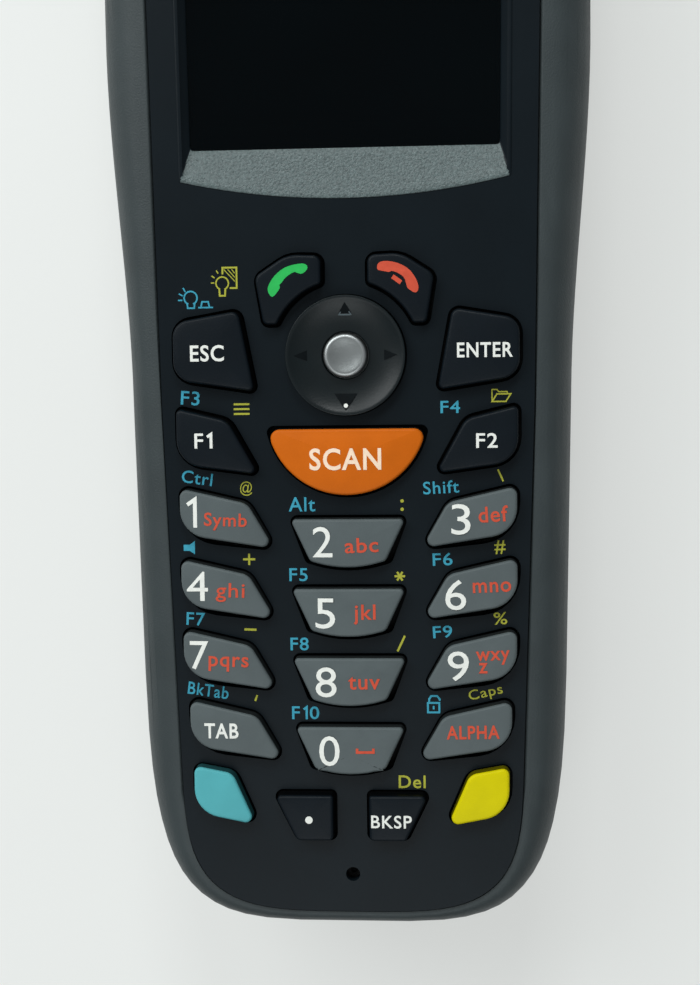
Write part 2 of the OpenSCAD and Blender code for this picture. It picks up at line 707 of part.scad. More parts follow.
// Keypad: mat with domes on its board
keypad_high = from_bottom(82);
keypad_low = from_bottom(11.2);
module keypad_plan(inset) {
  difference() {
    intersection() {
      seam_shape(cavity_inset + 0.3 + inset);
      translate([-head_width / 2, keypad_low]) square([head_width, keypad_high - keypad_low]);
    }
    for (p = screws) translate([p[0], p[1]]) circle(r = screw_boss_r + 0.4, $fn = bore_fn);
  }
}
module keypad_mat() {
  color([0.3, 0.3, 0.32]) union() {
    translate([0, 0, keypad_board_top]) linear_extrude(mat_thick) difference() {
      keypad_plan(0.5);
      for (p = posts) translate(p) circle(r = post_r + 0.3, $fn = bore_fn);
    }
    for (key = KEYS) let (middle = key_middle(key))
      translate([middle[0], middle[1], keypad_board_top + mat_thick / 2])
      cylinder(d = dome_d, h = dome_top - keypad_board_top - mat_thick / 2, $fn = bore_fn);
    translate([0, ring_y, keypad_board_top + mat_thick / 2])
      cylinder(d = dome_d, h = dome_top - keypad_board_top - mat_thick / 2, $fn = bore_fn);
  }
}
module keypad_board() {
  color("darkgreen") translate([0, 0, keypad_board_under]) linear_extrude(board_thick) keypad_plan(0);
}

// Main board and what sits on it
main_board_half = grip_width / 2 - main_board_side;
main_board_low = from_bottom(14.4);
main_board_high = side_key_y + side_key_length / 2 + 1;
module main_board() {
  color("darkgreen") translate([0, 0, main_board_under]) linear_extrude(board_thick)
    rounded(box_points(2 * main_board_half, main_board_low, main_board_high, 1.5));
}
module memory_card_slot() {
  color("silver") translate([-14.5, from_bottom(29), main_board_top]) difference() {
    cube([14, 15, 1.4]);
    translate([1, -far, 0.3]) cube([12, 14 + far, 0.8]);
  }
}
module backup_battery() {
  color("silver") translate([9, from_bottom(37), main_board_top]) union() {
    cylinder(d = 12, h = 1.6, $fn = bore_fn);
    cylinder(d = 9, h = 2, $fn = bore_fn);
  }
}
module radio_shield() {
  color("lightgray") translate([-9, from_bottom(51), main_board_top]) linear_extrude(1.8)
    rounded([[21, 22, 1], [0, 22, 1], [0, 0, 1], [21, 0, 1]]);
}
side_flange_thick = 0.8;
side_flange_in = seam_half(side_key_y - side_key_length / 2 - side_flange_thick)
  - cavity_inset - side_flange_thick - slack;
module side_switches() {
  color("black") for (s = [-1, 1]) translate([s * (main_board_half - 2), side_key_y, main_board_top]) union() {
    translate([0, 0, 1.5]) cube([3.4, 4.6, 3], center = true);
    translate([s * 1.7, 0, 1.5]) rotate([0, s * 90, 0])
      cylinder(d = 1.6, h = side_flange_in - main_board_half + 0.3 - side_key_travel - slack, $fn = bore_fn);
  }
}
module keypad_connector() {
  color("wheat") translate([-6, from_bottom(75), main_board_top])
    cube([12, 3.2, keypad_board_under - main_board_top]);
}
module microphone() {
  microphone_under = panel_under - 1.9;
  color("gray") translate([0, microphone_y, microphone_under]) difference() {
    cylinder(d = 4, h = 1.8, $fn = bore_fn);
    translate([0, 0, 1.2]) cylinder(d = 0.8, h = far, $fn = bore_fn);
  }
}
module earpiece() {
  color("gray") translate([0, 0, panel_under - 2.3]) difference() {
    linear_extrude(2.2) rounded(box_points(12, earpiece_y - 1.8, earpiece_y + 1.8, 1));
    for (k = [-2:2]) translate([k * 1.8, earpiece_y, 1.7]) cylinder(d = 0.8, h = far, $fn = bore_fn);
  }
}
module indicator_light_guides() {
  color("white") for (s = [-1, 1]) translate([s * lamp_x, earpiece_y, panel_under - 1.2]) union() {
    cylinder(d = lamp_d, h = panel_thick + 1.2, $fn = bore_fn);
    cylinder(d = lamp_d + 0.8, h = 1.1, $fn = bore_fn);
  }
}

// Scanner end
module scan_engine() {
  color([0.2, 0.2, 0.22]) difference() {
    translate([0, engine_high - engine_length / 2, scan_axis_height])
      cube([engine_width, engine_length, engine_height], center = true);
    translate([-4.5, engine_high + far, scan_axis_height]) rotate([90, 0, 0])
      cylinder(d = 7, h = 3 + far, $fn = bore_fn);
    translate([5.5, engine_high + far, scan_axis_height]) rotate([90, 0, 0])
      cylinder(d = 4.4, h = 2 + far, $fn = bore_fn);
  }
}
module scan_lens() {
  color("indigo") union() {
    translate([-4.5, engine_high - 0.4, scan_axis_height]) rotate([90, 0, 0])
      cylinder(d = 6.9, h = 2.6, $fn = bore_fn);
    translate([5.5, engine_high - 0.4, scan_axis_height]) rotate([90, 0, 0])
      cylinder(d = 4.3, h = 1.6, $fn = bore_fn);
  }
}
scan_window_width = head_width - 2 * scan_window_side;
scan_window_out = top - 1.5;
scan_window_in = scan_window_out - scan_window_thick;
module scan_plate(grow, r) {
  rounded(box_points(scan_window_width + 2 * grow, scan_axis_height - scan_window_height / 2 - grow,
    scan_axis_height + scan_window_height / 2 + grow, r + grow));
}
module scan_window() {
  color("maroon") translate([0, scan_window_out, 0]) rotate([90, 0, 0])
    linear_extrude(scan_window_thick) scan_plate(0, 2);
}

// Loudspeaker, motor and aerial in the back of the head
speaker_y = head_floor_y + 12;
speaker_x = -10;
speaker_r = 8;
module speaker() {
  color("gray") translate([speaker_x, speaker_y, head_floor]) union() {
    cylinder(r = speaker_r, h = 2, $fn = bore_fn);
    cylinder(r = speaker_r - 2.4, h = 3.6, $fn = bore_fn);
  }
}
motor_r = 3;
motor_x = 11;
motor_y = head_floor_y + 4;
module vibration_motor() {
  color("silver") translate([motor_x, motor_y, head_floor + motor_r + 0.05]) rotate([-90, 0, 0]) union() {
    cylinder(r = motor_r, h = 8.5, $fn = bore_fn);
    cylinder(r = 0.5, h = 13, $fn = bore_fn);
    translate([0, 0, 9.2]) intersection() {
      cylinder(r = motor_r - 0.3, h = 3.4, $fn = bore_fn);
      translate([-motor_r, -0.8, 0]) cube([2 * motor_r, motor_r + 1, 4]);
    }
  }
}
aerial_y = engine_high - engine_length - 7.5;
aerial_half = main_board_half - 3.5;
module aerial() {
  color("goldenrod") translate([0, aerial_y, main_board_top + 2.8]) union() {
    translate([-aerial_half, 0, 0]) cube([2 * aerial_half, 7, 0.8]);
    for (x = [3 - aerial_half, aerial_half - 6]) translate([x, -14, -2.8]) cube([2.5, 16, 0.6]);
    for (x = [3 - aerial_half, aerial_half - 6]) translate([x, 0.6, -2.8]) cube([2.5, 1.4, 3]);
  }
}

// Battery pack, its contacts and its cover
module battery_pack() {
  low = bay_low + battery_gap;
  color([0.25, 0.27, 0.3]) difference() {
    translate([0, 0, battery_under]) linear_extrude(battery_thick)
      rounded(box_points(battery_width, low, low + battery_length, 2));
    for (k = [-1.5:1.5]) translate([k * 4 - 1, low + battery_length - 0.5, battery_under + 3]) cube([2, far, 4]);
    translate([-6, low + 3, battery_under - far]) cube([12, 3, 0.6 + far]);
  }
}
contact_block_depth = 3;
module battery_contacts() {
  color("gold") union() {
    translate([-9, bay_high + 0.1, battery_under + 1.5]) cube([18, contact_block_depth - 0.2, 7]);
    for (k = [-1.5:1.5]) translate([k * 4 - 0.6, bay_high - battery_gap - 0.3, battery_under + 3.5])
      cube([1.2, battery_gap + 0.6, 3]);
  }
}
pin_length = 1.6;
snap_width = 12;
snap_reach = 0.9;
snap_slot = 1;
module cover_plan(grow) {
  rounded(box_points(cover_width + 2 * grow, hinge_y, cover_high + grow, 3));
}
module battery_cover() {
  color([0.24, 0.25, 0.27]) difference() {
    union() {
      linear_extrude(cover_thick) difference() {
        cover_plan(0);
        translate([-cover_width / 2 - far, hinge_y - far]) square([cover_width + 2 * far, knuckle_r + far]);
      }
      translate([-cover_width / 2, hinge_y, 0]) cube([cover_width, knuckle_r + 2, cover_thick]);
      translate([-cover_width / 2, hinge_y, knuckle_r]) rotate([0, 90, 0])
        cylinder(r = knuckle_r, h = cover_width, $fn = bore_fn);
      translate([-cover_width / 2 - pin_length, hinge_y, knuckle_r]) rotate([0, 90, 0])
        cylinder(d = hinge_pin_d, h = cover_width + 2 * pin_length, $fn = bore_fn);
      translate([-snap_width / 2, cover_high - 0.1, 0.9])
        cube([snap_width, snap_reach + 0.1, cover_thick - 0.9]);
    }
    for (k = [0:5]) translate([-9, cover_high - 9 + k * 1.2, -far]) cube([18, 0.5, far + 0.35]);
    for (s = [-1, 1]) translate([s * (snap_width / 2 + snap_slot / 2 + 0.4) - snap_slot / 2, cover_high - 3.2, -far])
      cube([snap_slot, 3.2 + far, cover_thick + 2 * far]);
  }
}

// Dock socket in the bottom end
contact_pitch = (socket_width - 4) / (socket_contacts - 1);
function contact_x(k) = -socket_width / 2 + 2 + k * contact_pitch;
module dock_connector() {
  color([0.1, 0.1, 0.12]) difference() {
    translate([-(socket_width + 1.6) / 2, socket_floor, socket_axis_height - socket_height / 2 - 0.5])
      cube([socket_width + 1.6, 5, socket_height + 1]);
    for (k = [0:socket_contacts - 1])
      translate([contact_x(k) - contact_pitch * 0.3, socket_floor - far, socket_axis_height - 1.2])
        cube([contact_pitch * 0.6, far + 0.8, 2.4]);
  }
}
module dock_contacts() {
  color("gold") for (k = [0:socket_contacts - 1])
    translate([contact_x(k) - contact_pitch * 0.28, socket_floor + 0.3, socket_axis_height - 1.15])
      cube([contact_pitch * 0.56, 0.45, 2.3]);
}

// Side scan keys: outline seen from the side, drawn in the length and height directions
side_key_z = widest - 4;
side_outer = widest_half(side_key_y) + side_key_rise;
module side_plan(grow) {
  rounded([
    [side_key_height / 2 + grow, side_key_length / 2 + grow, 2],
    [-side_key_height / 2 - grow, side_key_length / 2 + grow, 2],
    [-side_key_height / 2 - grow, -side_key_length / 2 - grow, 2],
    [side_key_height / 2 + grow, -side_key_length / 2 - grow, 2]
  ]);
}
module side_key(s) {
  reach = side_outer - side_flange_in;
  crown_r = 60;
  color([0.12, 0.12, 0.13]) mirror([s < 0 ? 1 : 0, 0, 0]) union() {
    intersection() {
      translate([side_flange_in, side_key_y, side_key_z]) rotate([0, 90, 0]) linear_extrude(reach) side_plan(0);
      translate([side_outer - crown_r, side_key_y, side_key_z - side_key_height])
        cylinder(r = crown_r, h = 2 * side_key_height, $fn = 180);
    }
    translate([side_flange_in, side_key_y, side_key_z]) rotate([0, 90, 0]) linear_extrude(side_flange_thick)
      side_plan(side_flange_thick);
  }
}

// Rear housing: lofted shell with its bays, deck, posts, ledges and openings
module rear_cavity() {
  translate([0, 0, deck_top]) linear_extrude(front + far - deck_top) seam_shape(cavity_inset);
  translate([0, 0, ledge]) linear_extrude(far + front - ledge) seam_shape(-seam_gap);
  translate([0, 0, head_floor]) linear_extrude(deck_top - head_floor + far) intersection() {
    seam_shape(cavity_inset + 2);
    translate([-head_width / 2, head_floor_y]) square([head_width, top - 3.3 - head_floor_y]);
  }
}
module rear_bay() {
  translate([0, 0, -far]) linear_extrude(cover_seat + far) cover_plan(cover_gap);
  translate([-cover_width / 2 - cover_gap, hinge_y, knuckle_r]) rotate([0, 90, 0])
    cylinder(r = knuckle_r + cover_gap, h = cover_width + 2 * cover_gap, $fn = bore_fn);
  translate([-cover_width / 2 - cover_gap, hinge_y - knuckle_r - cover_gap, -far])
    cube([cover_width + 2 * cover_gap, knuckle_r + cover_gap + far, knuckle_r + far]);
  translate([-cover_width / 2 - cover_gap, hinge_y, 0])
    cube([cover_width + 2 * cover_gap, 3, knuckle_r * 2 + cover_gap]);
  translate([-cover_width / 2 - pin_length - 0.3, hinge_y, knuckle_r]) rotate([0, 90, 0])
    cylinder(r = hinge_pin_d / 2 + hinge_clear, h = cover_width + 2 * pin_length + 0.6, $fn = bore_fn);
  linear_extrude(bay_top)
    rounded(box_points(battery_width + 2 * battery_gap, bay_low, bay_high, 2.4));
  translate([-9.2, bay_high - far, battery_under + 1.3]) cube([18.4, contact_block_depth + far, 7.4]);
  translate([-snap_width / 2 - 0.4, cover_high - far, 0.8])
    cube([snap_width + 0.8, snap_reach + 0.3 + far, cover_seat - 0.8]);
}
module rear_housing() {
  color([0.27, 0.28, 0.3]) difference() {
    union() {
      difference() {
        skin(housing_rings());
        rear_cavity();
      }
      for (p = screws) if (p[1] > 0) translate([p[0], p[1], head_floor - slack])
        cylinder(r = screw_boss_r + 1, h = deck_top - head_floor + slack, $fn = bore_fn);
      for (s = [-1, 1], y = [main_board_low + 3, head_floor_y - 4])
        translate([s * 15.5, y, deck_top - slack]) cylinder(r = 1.6, h = board_pad + slack, $fn = bore_fn);
      for (s = [-1, 1])
        translate([s * (engine_width / 2 - 2) - 1, engine_high - engine_length + 1, head_floor - slack])
        cube([2, engine_length - 2, scan_axis_height - engine_height / 2 - head_floor + slack]);
      for (s = [-1, 1]) translate([motor_x + s * (motor_r + 0.8) - 0.5, motor_y + 1, head_floor - slack])
        cube([1, 6, 3.4]);
      translate([speaker_x, speaker_y, head_floor - slack]) difference() {
        cylinder(r = speaker_r + 1, h = 1.6, $fn = bore_fn);
        translate([0, 0, -far]) cylinder(r = speaker_r + 0.15, h = 1.6 + 2 * far, $fn = bore_fn);
      }
    }
    rear_bay();
    for (p = screws) translate([p[0], p[1], -far])
      cylinder(d = screw_head_d + 0.3, h = screw_seat + far, $fn = bore_fn);
    for (p = screws) translate([p[0], p[1], 0])
      cylinder(d = screw_d + 0.3, h = deck_top + far, $fn = bore_fn);
    for (k = [-2:2]) translate([speaker_x, speaker_y + k * 2.4, -far]) linear_extrude(head_floor + 2 * far)
      rounded(box_points(abs(k) == 2 ? 7 : 11, -0.5, 0.5, 0.45));
    translate([-engine_width / 2 - 3, engine_high - far, scan_axis_height - scan_window_height / 2 + 1.2])
      cube([engine_width + 6, top - engine_high + 2 * far, scan_window_height - 2.4]);
    translate([0, top + far, 0]) rotate([90, 0, 0]) linear_extrude(far + top - scan_window_in) scan_plate(0.1, 2);
    translate([-socket_width / 2, bottom - far, socket_axis_height - socket_height / 2])
      cube([socket_width, socket_depth + far + slack, socket_height]);
    translate([-socket_width / 2 - 1, socket_floor - 0.1, socket_axis_height - socket_height / 2 - 0.7])
      cube([socket_width + 2, 5.4, front - socket_axis_height]);
    for (s = [-1, 1]) mirror([s < 0 ? 1 : 0, 0, 0]) translate([side_flange_in - 1, side_key_y, side_key_z])
      rotate([0, 90, 0]) linear_extrude(head_width / 2) side_plan(0.25);
  }
}
module housing_screws() {
  color("silver") for (p = screws) translate([p[0], p[1], 0]) difference() {
    union() {
      translate([0, 0, screw_seat]) cylinder(d = screw_d, h = screw_length, $fn = bore_fn);
      translate([0, 0, screw_seat - 1.4]) cylinder(d = screw_head_d, h = 1.4, $fn = bore_fn);
    }
    for (turn = [0, 90]) rotate(turn) translate([-1.1, -0.25, screw_seat - 1.4 - far]) cube([2.2, 0.5, far + 0.7]);
  }
}

rear_housing();
front_housing();
panel_seal();
display_bezel();
display_window();
lcd_module();
keypad_mat();
keypad_board();
main_board();
memory_card_slot();
backup_battery();
radio_shield();
side_switches();
keypad_connector();
microphone();
earpiece();
indicator_light_guides();
scan_engine();
scan_lens();
scan_window();
speaker();
vibration_motor();
aerial();
battery_pack();
battery_contacts();
battery_cover();
dock_connector();
dock_contacts();
housing_screws();
navigation_ring();
navigation_button();
navigation_carrier();
side_key(-1);  // side_key_left
side_key(1);  // side_key_right
for (key = KEYS) key_cap(key);
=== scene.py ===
"""Dressed model of a portable barcode data terminal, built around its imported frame."""

import json
import logging
import math
from dataclasses import dataclass, field, replace
from enum import Enum

import bmesh
import bpy
from mathutils import Matrix, Vector

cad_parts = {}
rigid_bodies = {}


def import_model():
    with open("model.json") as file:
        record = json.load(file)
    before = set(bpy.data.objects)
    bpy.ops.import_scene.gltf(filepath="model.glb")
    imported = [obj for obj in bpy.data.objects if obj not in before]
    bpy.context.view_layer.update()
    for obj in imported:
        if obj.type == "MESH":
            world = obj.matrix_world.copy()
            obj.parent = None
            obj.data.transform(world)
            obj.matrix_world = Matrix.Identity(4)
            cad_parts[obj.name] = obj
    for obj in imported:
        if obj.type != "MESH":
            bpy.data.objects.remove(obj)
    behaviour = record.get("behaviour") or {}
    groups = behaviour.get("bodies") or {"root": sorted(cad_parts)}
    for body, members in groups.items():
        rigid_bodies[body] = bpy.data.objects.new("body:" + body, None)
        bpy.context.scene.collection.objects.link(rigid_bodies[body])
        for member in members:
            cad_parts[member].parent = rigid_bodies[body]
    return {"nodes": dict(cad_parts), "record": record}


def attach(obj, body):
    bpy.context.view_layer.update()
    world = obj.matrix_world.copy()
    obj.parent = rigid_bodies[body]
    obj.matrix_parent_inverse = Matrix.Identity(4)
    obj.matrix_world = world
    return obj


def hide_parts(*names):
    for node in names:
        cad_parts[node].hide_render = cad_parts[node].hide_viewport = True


LOG = logging.getLogger("terminal")
MM = 0.001

Point = tuple[float, float]
Triple = tuple[float, float, float]
Corner = Triple
Ring = list[Triple]
Piece = bpy.types.Object

# Heights over the back and the navigation ring's place along the length, in millimetres.
FRONT = 27.0
KEY_TOP = FRONT + 1.8
PANEL_UNDER = 25.2
FLANGE_UNDER = 24.2
STEM_FOOT = FLANGE_UNDER - 0.3
RING_Y = -8.45

CORNER_STEPS = 8


class Look(Enum):
    """Ways in which a finish answers light."""

    PLASTIC = "plastic"
    METAL = "metal"


class Side(Enum):
    """Left or right of the keypad's middle line."""

    LEFT = -1
    RIGHT = 1


@dataclass(frozen=True)
class Finish:
    """A procedural surface: colour with a mottle, a grain in the bump, and a roughness that varies.

    Sizes of the mottle and the grain are in millimetres.
    """

    name: str
    colour: Triple
    rough: float = 0.5
    mottle: float = 0.12
    mottle_size: float = 2.0
    grain: float = 0.02
    grain_size: float = 0.3
    rough_spread: float = 0.08
    look: Look = Look.PLASTIC
    specular: float = 0.5
    coat: float = 0.0
    coat_rough: float = 0.12
    alpha: float = 1.0
    stretch: Triple = (1.0, 1.0, 1.0)

    def material(self) -> bpy.types.Material:
        """Makes the material, or returns the one already made.

        Returns:
            The node material with this finish's name.
        """
        made = bpy.data.materials.get(f"finish_{self.name}")
        if made:
            return made
        made = bpy.data.materials.new(f"finish_{self.name}")
        made.use_nodes = True
        nodes, links = made.node_tree.nodes, made.node_tree.links
        shader = nodes["Principled BSDF"]
        place = nodes.new("ShaderNodeTexCoord")
        turn = nodes.new("ShaderNodeMapping")
        turn.inputs["Scale"].default_value = self.stretch
        links.new(place.outputs["Object"], turn.inputs["Vector"])
        noises: list[bpy.types.Node] = []
        for size, detail in ((self.mottle_size, 4.0), (self.grain_size, 2.0)):
            noise = nodes.new("ShaderNodeTexNoise")
            noise.inputs["Scale"].default_value = 1.0 / (size * MM)
            noise.inputs["Detail"].default_value = detail
            links.new(turn.outputs["Vector"], noise.inputs["Vector"])
            noises.append(noise)
        cloud, fine = noises
        ramp = nodes.new("ShaderNodeValToRGB")
        for stop, where, share in zip(ramp.color_ramp.elements, (0.3, 0.7), (-self.mottle, self.mottle)):
            stop.position = where
            stop.color = (*[min(1.0, c * (1.0 + share)) for c in self.colour], 1.0)
        links.new(cloud.outputs["Fac"], ramp.inputs["Fac"])
        links.new(ramp.outputs["Color"], shader.inputs["Base Color"])
        spread = nodes.new("ShaderNodeMapRange")
        spread.inputs["To Min"].default_value = max(0.02, self.rough - self.rough_spread)
        spread.inputs["To Max"].default_value = min(1.0, self.rough + self.rough_spread)
        links.new(fine.outputs["Fac"], spread.inputs["Value"])
        links.new(spread.outputs["Result"], shader.inputs["Roughness"])
        bump = nodes.new("ShaderNodeBump")
        bump.inputs["Strength"].default_value = 1.0
        bump.inputs["Distance"].default_value = self.grain * MM
        links.new(fine.outputs["Fac"], bump.inputs["Height"])
        links.new(bump.outputs["Normal"], shader.inputs["Normal"])
        for socket, value in (
            ("Specular IOR Level", self.specular),
            ("Coat Weight", self.coat),
            ("Coat Roughness", self.coat_rough),
            ("Alpha", self.alpha),
            ("Metallic", float(self.look is Look.METAL)),
        ):
            shader.inputs[socket].default_value = value
        return made

    def painted_shade_copy(self, share: float) -> "Finish":
        """The same plastic with this share of its colour: painted shade for a key's side, which stands in
        shadow.
        """
        return replace(self, name=f"{self.name}_side", colour=tuple(c * share for c in self.colour))

    def dress(self, piece: Piece) -> None:
        """Gives the piece this finish alone."""
        piece.data.materials.clear()
        piece.data.materials.append(self.material())


def key_plastic(
    name: str,
    colour: Triple,
    specular: float,
    mottle: float = 0.05,
    rough: float = 0.42,
    grain: float = 0.01,
) -> Finish:
    """The moulded plastic of the keys."""
    return Finish(f"key_{name}", colour, rough, mottle, 3.0, grain, 0.18, 0.06, specular=specular)


def ink(name: str, colour: Triple, mottle: float = 0.05, rough: float = 0.55) -> Finish:
    """A printing ink."""
    return Finish(f"print_{name}", colour, rough, mottle, 0.6, 0.004, 0.1, specular=0.15)


HOUSING = Finish("housing_grey", (0.035, 0.044, 0.046), 0.5, 0.08, 6.0, 0.04, 0.22, 0.1, specular=0.25)
PANEL = Finish("panel_black", (0.0036, 0.0068, 0.0094), 0.38, 0.1, 9.0, 0.006, 0.3, 0.06, specular=0.12)
BEZEL = Finish("bezel_grey", (0.074, 0.1, 0.1), 0.42, 0.3, 0.3, 0.12, 0.26, 0.16, specular=0.4)
GLASS = Finish(
    "window_glass", (0.0006, 0.0016, 0.0022), 0.06, 0.2, 20.0, 0.0, 1.0, 0.03, specular=0.1, alpha=0.8
)
KEY_GREY = key_plastic("grey", (0.086, 0.103, 0.106), 0.14, 0.06, grain=0.012)
KEY_BLACK = key_plastic("black", (0.0032, 0.006, 0.009), 0.12, 0.08, grain=0.012)
# Near-black for the keys' lower sides: painted shade in the gap round each key.
KEY_GAP_SHADE = key_plastic("gap_shade_black", (0.004, 0.0045, 0.005), 0.1, 0.1, 0.6)
KEY_ORANGE = key_plastic("orange", (0.53, 0.112, 0.005), 0.08)
KEY_TEAL = key_plastic("teal", (0.083, 0.36, 0.39), 0.08, rough=0.4)
KEY_YELLOW = key_plastic("yellow", (0.585, 0.51, 0.002), 0.06, rough=0.4)
RING = Finish("ring_black", (0.0018, 0.005, 0.0062), 0.36, 0.08, 2.0, 0.01, 0.2, 0.05, specular=0.28)
RING_MARK = Finish("ring_mark", (0.0035, 0.005, 0.006), 0.6, 0.1, 1.0, 0.004, 0.2, 0.05, specular=0.05)
SILVER = Finish("button_silver", (0.225, 0.238, 0.238), 0.44, 0.04, 0.6, 0.012, 0.1, 0.06, Look.METAL)
# A lighter copy of the button's silver for its rounded rim: a painted highlight.
SILVER_RIM_HIGHLIGHT = Finish("button_rim_painted_highlight", (0.36, 0.375, 0.375), 0.42, 0.04, 0.6, 0.008, 0.1, 0.06, Look.METAL)
PRINT_WHITE = ink("white", (0.74, 0.745, 0.7))
PRINT_CREAM = ink("cream", (0.85, 0.66, 0.5))
PRINT_RED = ink("red", (0.55, 0.075, 0.038), 0.06)
PRINT_GREEN = ink("green", (0.024, 0.42, 0.085), rough=0.5)
PRINT_BLUE = ink("blue", (0.042, 0.29, 0.4), 0.1)
PRINT_GREY = ink("grey", (0.07, 0.09, 0.1), 0.1, 0.5)
PRINT_LIME = ink("lime", (0.37, 0.37, 0.042), 0.06)
SEAL = Finish("seal_rubber", (0.012, 0.012, 0.012), 0.75, 0.15)
SIDE_KEY = Finish("side_key_rubber", (0.02, 0.021, 0.023), 0.62, grain=0.03, grain_size=0.2)
BLACK_PART = Finish("black_moulding", (0.018, 0.018, 0.02), 0.5, grain_size=0.25)
CREAM_PART = Finish("cream_moulding", (0.6, 0.54, 0.4), 0.5, 0.08)
STEEL = Finish(
    "steel_shell", (0.56, 0.57, 0.58), 0.34, 0.06, 2.0, 0.006, 0.15, 0.1, Look.METAL, stretch=(1.0, 8.0, 1.0)
)
SCREW = Finish("screw_steel", (0.42, 0.43, 0.45), 0.36, 0.08, 0.6, 0.006, 0.1, 0.1, Look.METAL)
GOLD = Finish("gold_contact", (0.83, 0.6, 0.22), 0.28, 0.05, 0.5, 0.004, 0.1, 0.06, Look.METAL)
BOARD = Finish("board_green", (0.015, 0.11, 0.045), 0.35, 0.25, 1.5, 0.03, 0.6, 0.08, coat=0.3)
MAT = Finish("dome_mat", (0.06, 0.06, 0.065), 0.6, 0.1)
DISPLAY = Finish("display_panel", (0.003, 0.0035, 0.004), 0.35, 0.2, 3.0, 0.003, 0.3)
GUIDE = Finish("clear_guide", (0.62, 0.66, 0.62), 0.35, 0.05, 1.0, 0.01, 0.2, alpha=0.85)
LENS = Finish("lens_glass", (0.03, 0.015, 0.05), 0.05, 0.2, 2.0, 0.0, 1.0, 0.02, specular=0.8, coat=0.6)
RED_WINDOW = Finish("red_window", (0.09, 0.003, 0.004), 0.08, 0.15, 8.0, 0.0, 1.0, 0.03, alpha=0.88)
BATTERY = Finish("battery_wrap", (0.03, 0.032, 0.036), 0.45, 0.1, 5.0, 0.01, 0.4)
COVER = Finish("cover_grey", (0.034, 0.042, 0.044), 0.55, 0.08, 6.0, 0.04, 0.22, 0.1, specular=0.25)


class Bench:
    """Modelling steps that the sub-assemblies share. Lengths are in millimetres."""

    @staticmethod
    def only(*pieces: Piece) -> None:
        """Selects these pieces and nothing else, the first of them active."""
        for other in bpy.context.view_layer.objects:
            other.select_set(False)
        for piece in pieces:
            piece.select_set(True)
        bpy.context.view_layer.objects.active = pieces[0] if pieces else None

    @classmethod
    def solid(cls, name: str, rings: list[Ring], hoop: bool = False) -> Piece:
        """Extrudes an outline through a list of rings.

        Args:
            name: the piece's name.
            rings: rings of equal length, anticlockwise from above, the lowest first.
            hoop: whether the last ring joins the first, so that neither is filled.

        Returns:
            The closed piece, at the origin.
        """
        if hoop:
            rings = [*rings, rings[0]]
        cls.only()
        fill = "NOTHING" if hoop else "NGON"
        bpy.ops.mesh.primitive_circle_add(vertices=len(rings[0]), radius=MM, fill_type=fill)
        piece = bpy.context.active_object
        piece.name = piece.data.name = name
        for vertex, place in zip(piece.data.vertices, rings[0]):
            vertex.co = Vector(place) * MM
        bpy.ops.object.mode_set(mode="EDIT")
        bpy.ops.mesh.select_all(action="SELECT")
        for before, after in zip(rings, rings[1:]):
            moves = {cls._key(Vector(a) * MM): Vector(b) * MM for a, b in zip(before, after)}
            bpy.ops.mesh.extrude_region()
            mesh = bmesh.from_edit_mesh(piece.data)
            for vertex in mesh.verts:
                if vertex.select:
                    vertex.co = moves[cls._key(vertex.co)]
            bmesh.update_edit_mesh(piece.data)
        bpy.ops.mesh.select_all(action="SELECT")
        bpy.ops.mesh.remove_doubles(threshold=0.0001 * MM)
        bpy.ops.mesh.normals_make_consistent(inside=False)
        bpy.ops.object.mode_set(mode="OBJECT")
        return piece

    @staticmethod
    def _key(place: Vector) -> tuple[int, int, int]:
        """A place rounded so that equal places compare equal."""
        return tuple(round(c * 1e7) for c in place)

    @classmethod
    def joined(cls, name: str, pieces: list[Piece]) -> Piece:
        """Joins the pieces under one name.

        Args:
            name: the name of the result.
            pieces: meshes at the origin; the first one receives the others.

        Returns:
            The joined piece.
        """
        cls.only(*pieces)
        if len(pieces) > 1:
            bpy.ops.object.join()
        made = bpy.context.active_object
        made.name = made.data.name = name
        return made

    @classmethod
    def finished(cls, piece: Piece, node: str, finish: Finish, angle: float = 40.0) -> None:
        """Smooths and dresses a piece that stands for a node and rides on the node's body.

        Args:
            piece: the built piece.
            node: the node's name.
            finish: the piece's finish.
            angle: edges sharper than this many degrees stay sharp in the shading.
        """
        cls.only(piece)
        bpy.ops.object.shade_smooth_by_angle(angle=math.radians(angle))
        finish.dress(piece)
        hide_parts(node)
        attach(piece, BODY_OF[node])
        LOG.info("built %s", node)

    @classmethod
    def copy_of(cls, node: str, finish: Finish, bevel: float = 0.0, angle: float = 40.0) -> None:
        """Copies a frame node with its doubles merged, eases its edges and finishes it.

        Args:
            node: the node's name.
            finish: the copy's finish.
            bevel: width of the eased edges in millimetres, or 0 for none.
            angle: edges sharper than this many degrees are eased and kept sharp in the shading.
        """
        source = FRAME["nodes"][node]
        piece = bpy.data.objects.new(f"{node}_dressed", source.data.copy())
        bpy.context.scene.collection.objects.link(piece)
        cls.only(piece)
        bpy.ops.object.mode_set(mode="EDIT")
        bpy.ops.mesh.select_all(action="SELECT")
        bpy.ops.mesh.remove_doubles(threshold=0.001 * MM)
        bpy.ops.mesh.dissolve_limited(angle_limit=math.radians(0.5))
        bpy.ops.object.mode_set(mode="OBJECT")
        if bevel:
            ease = piece.modifiers.new("ease", "BEVEL")
            ease.width = bevel * MM
            ease.segments = 2
            ease.limit_method = "ANGLE"
            ease.angle_limit = math.radians(angle)
            bpy.ops.object.modifier_apply(modifier="ease")
        cls.finished(piece, node, finish, angle)
        level = piece.modifiers.new("level", "WEIGHTED_NORMAL")
        level.keep_sharp = True
        bpy.ops.object.modifier_apply(modifier="level")


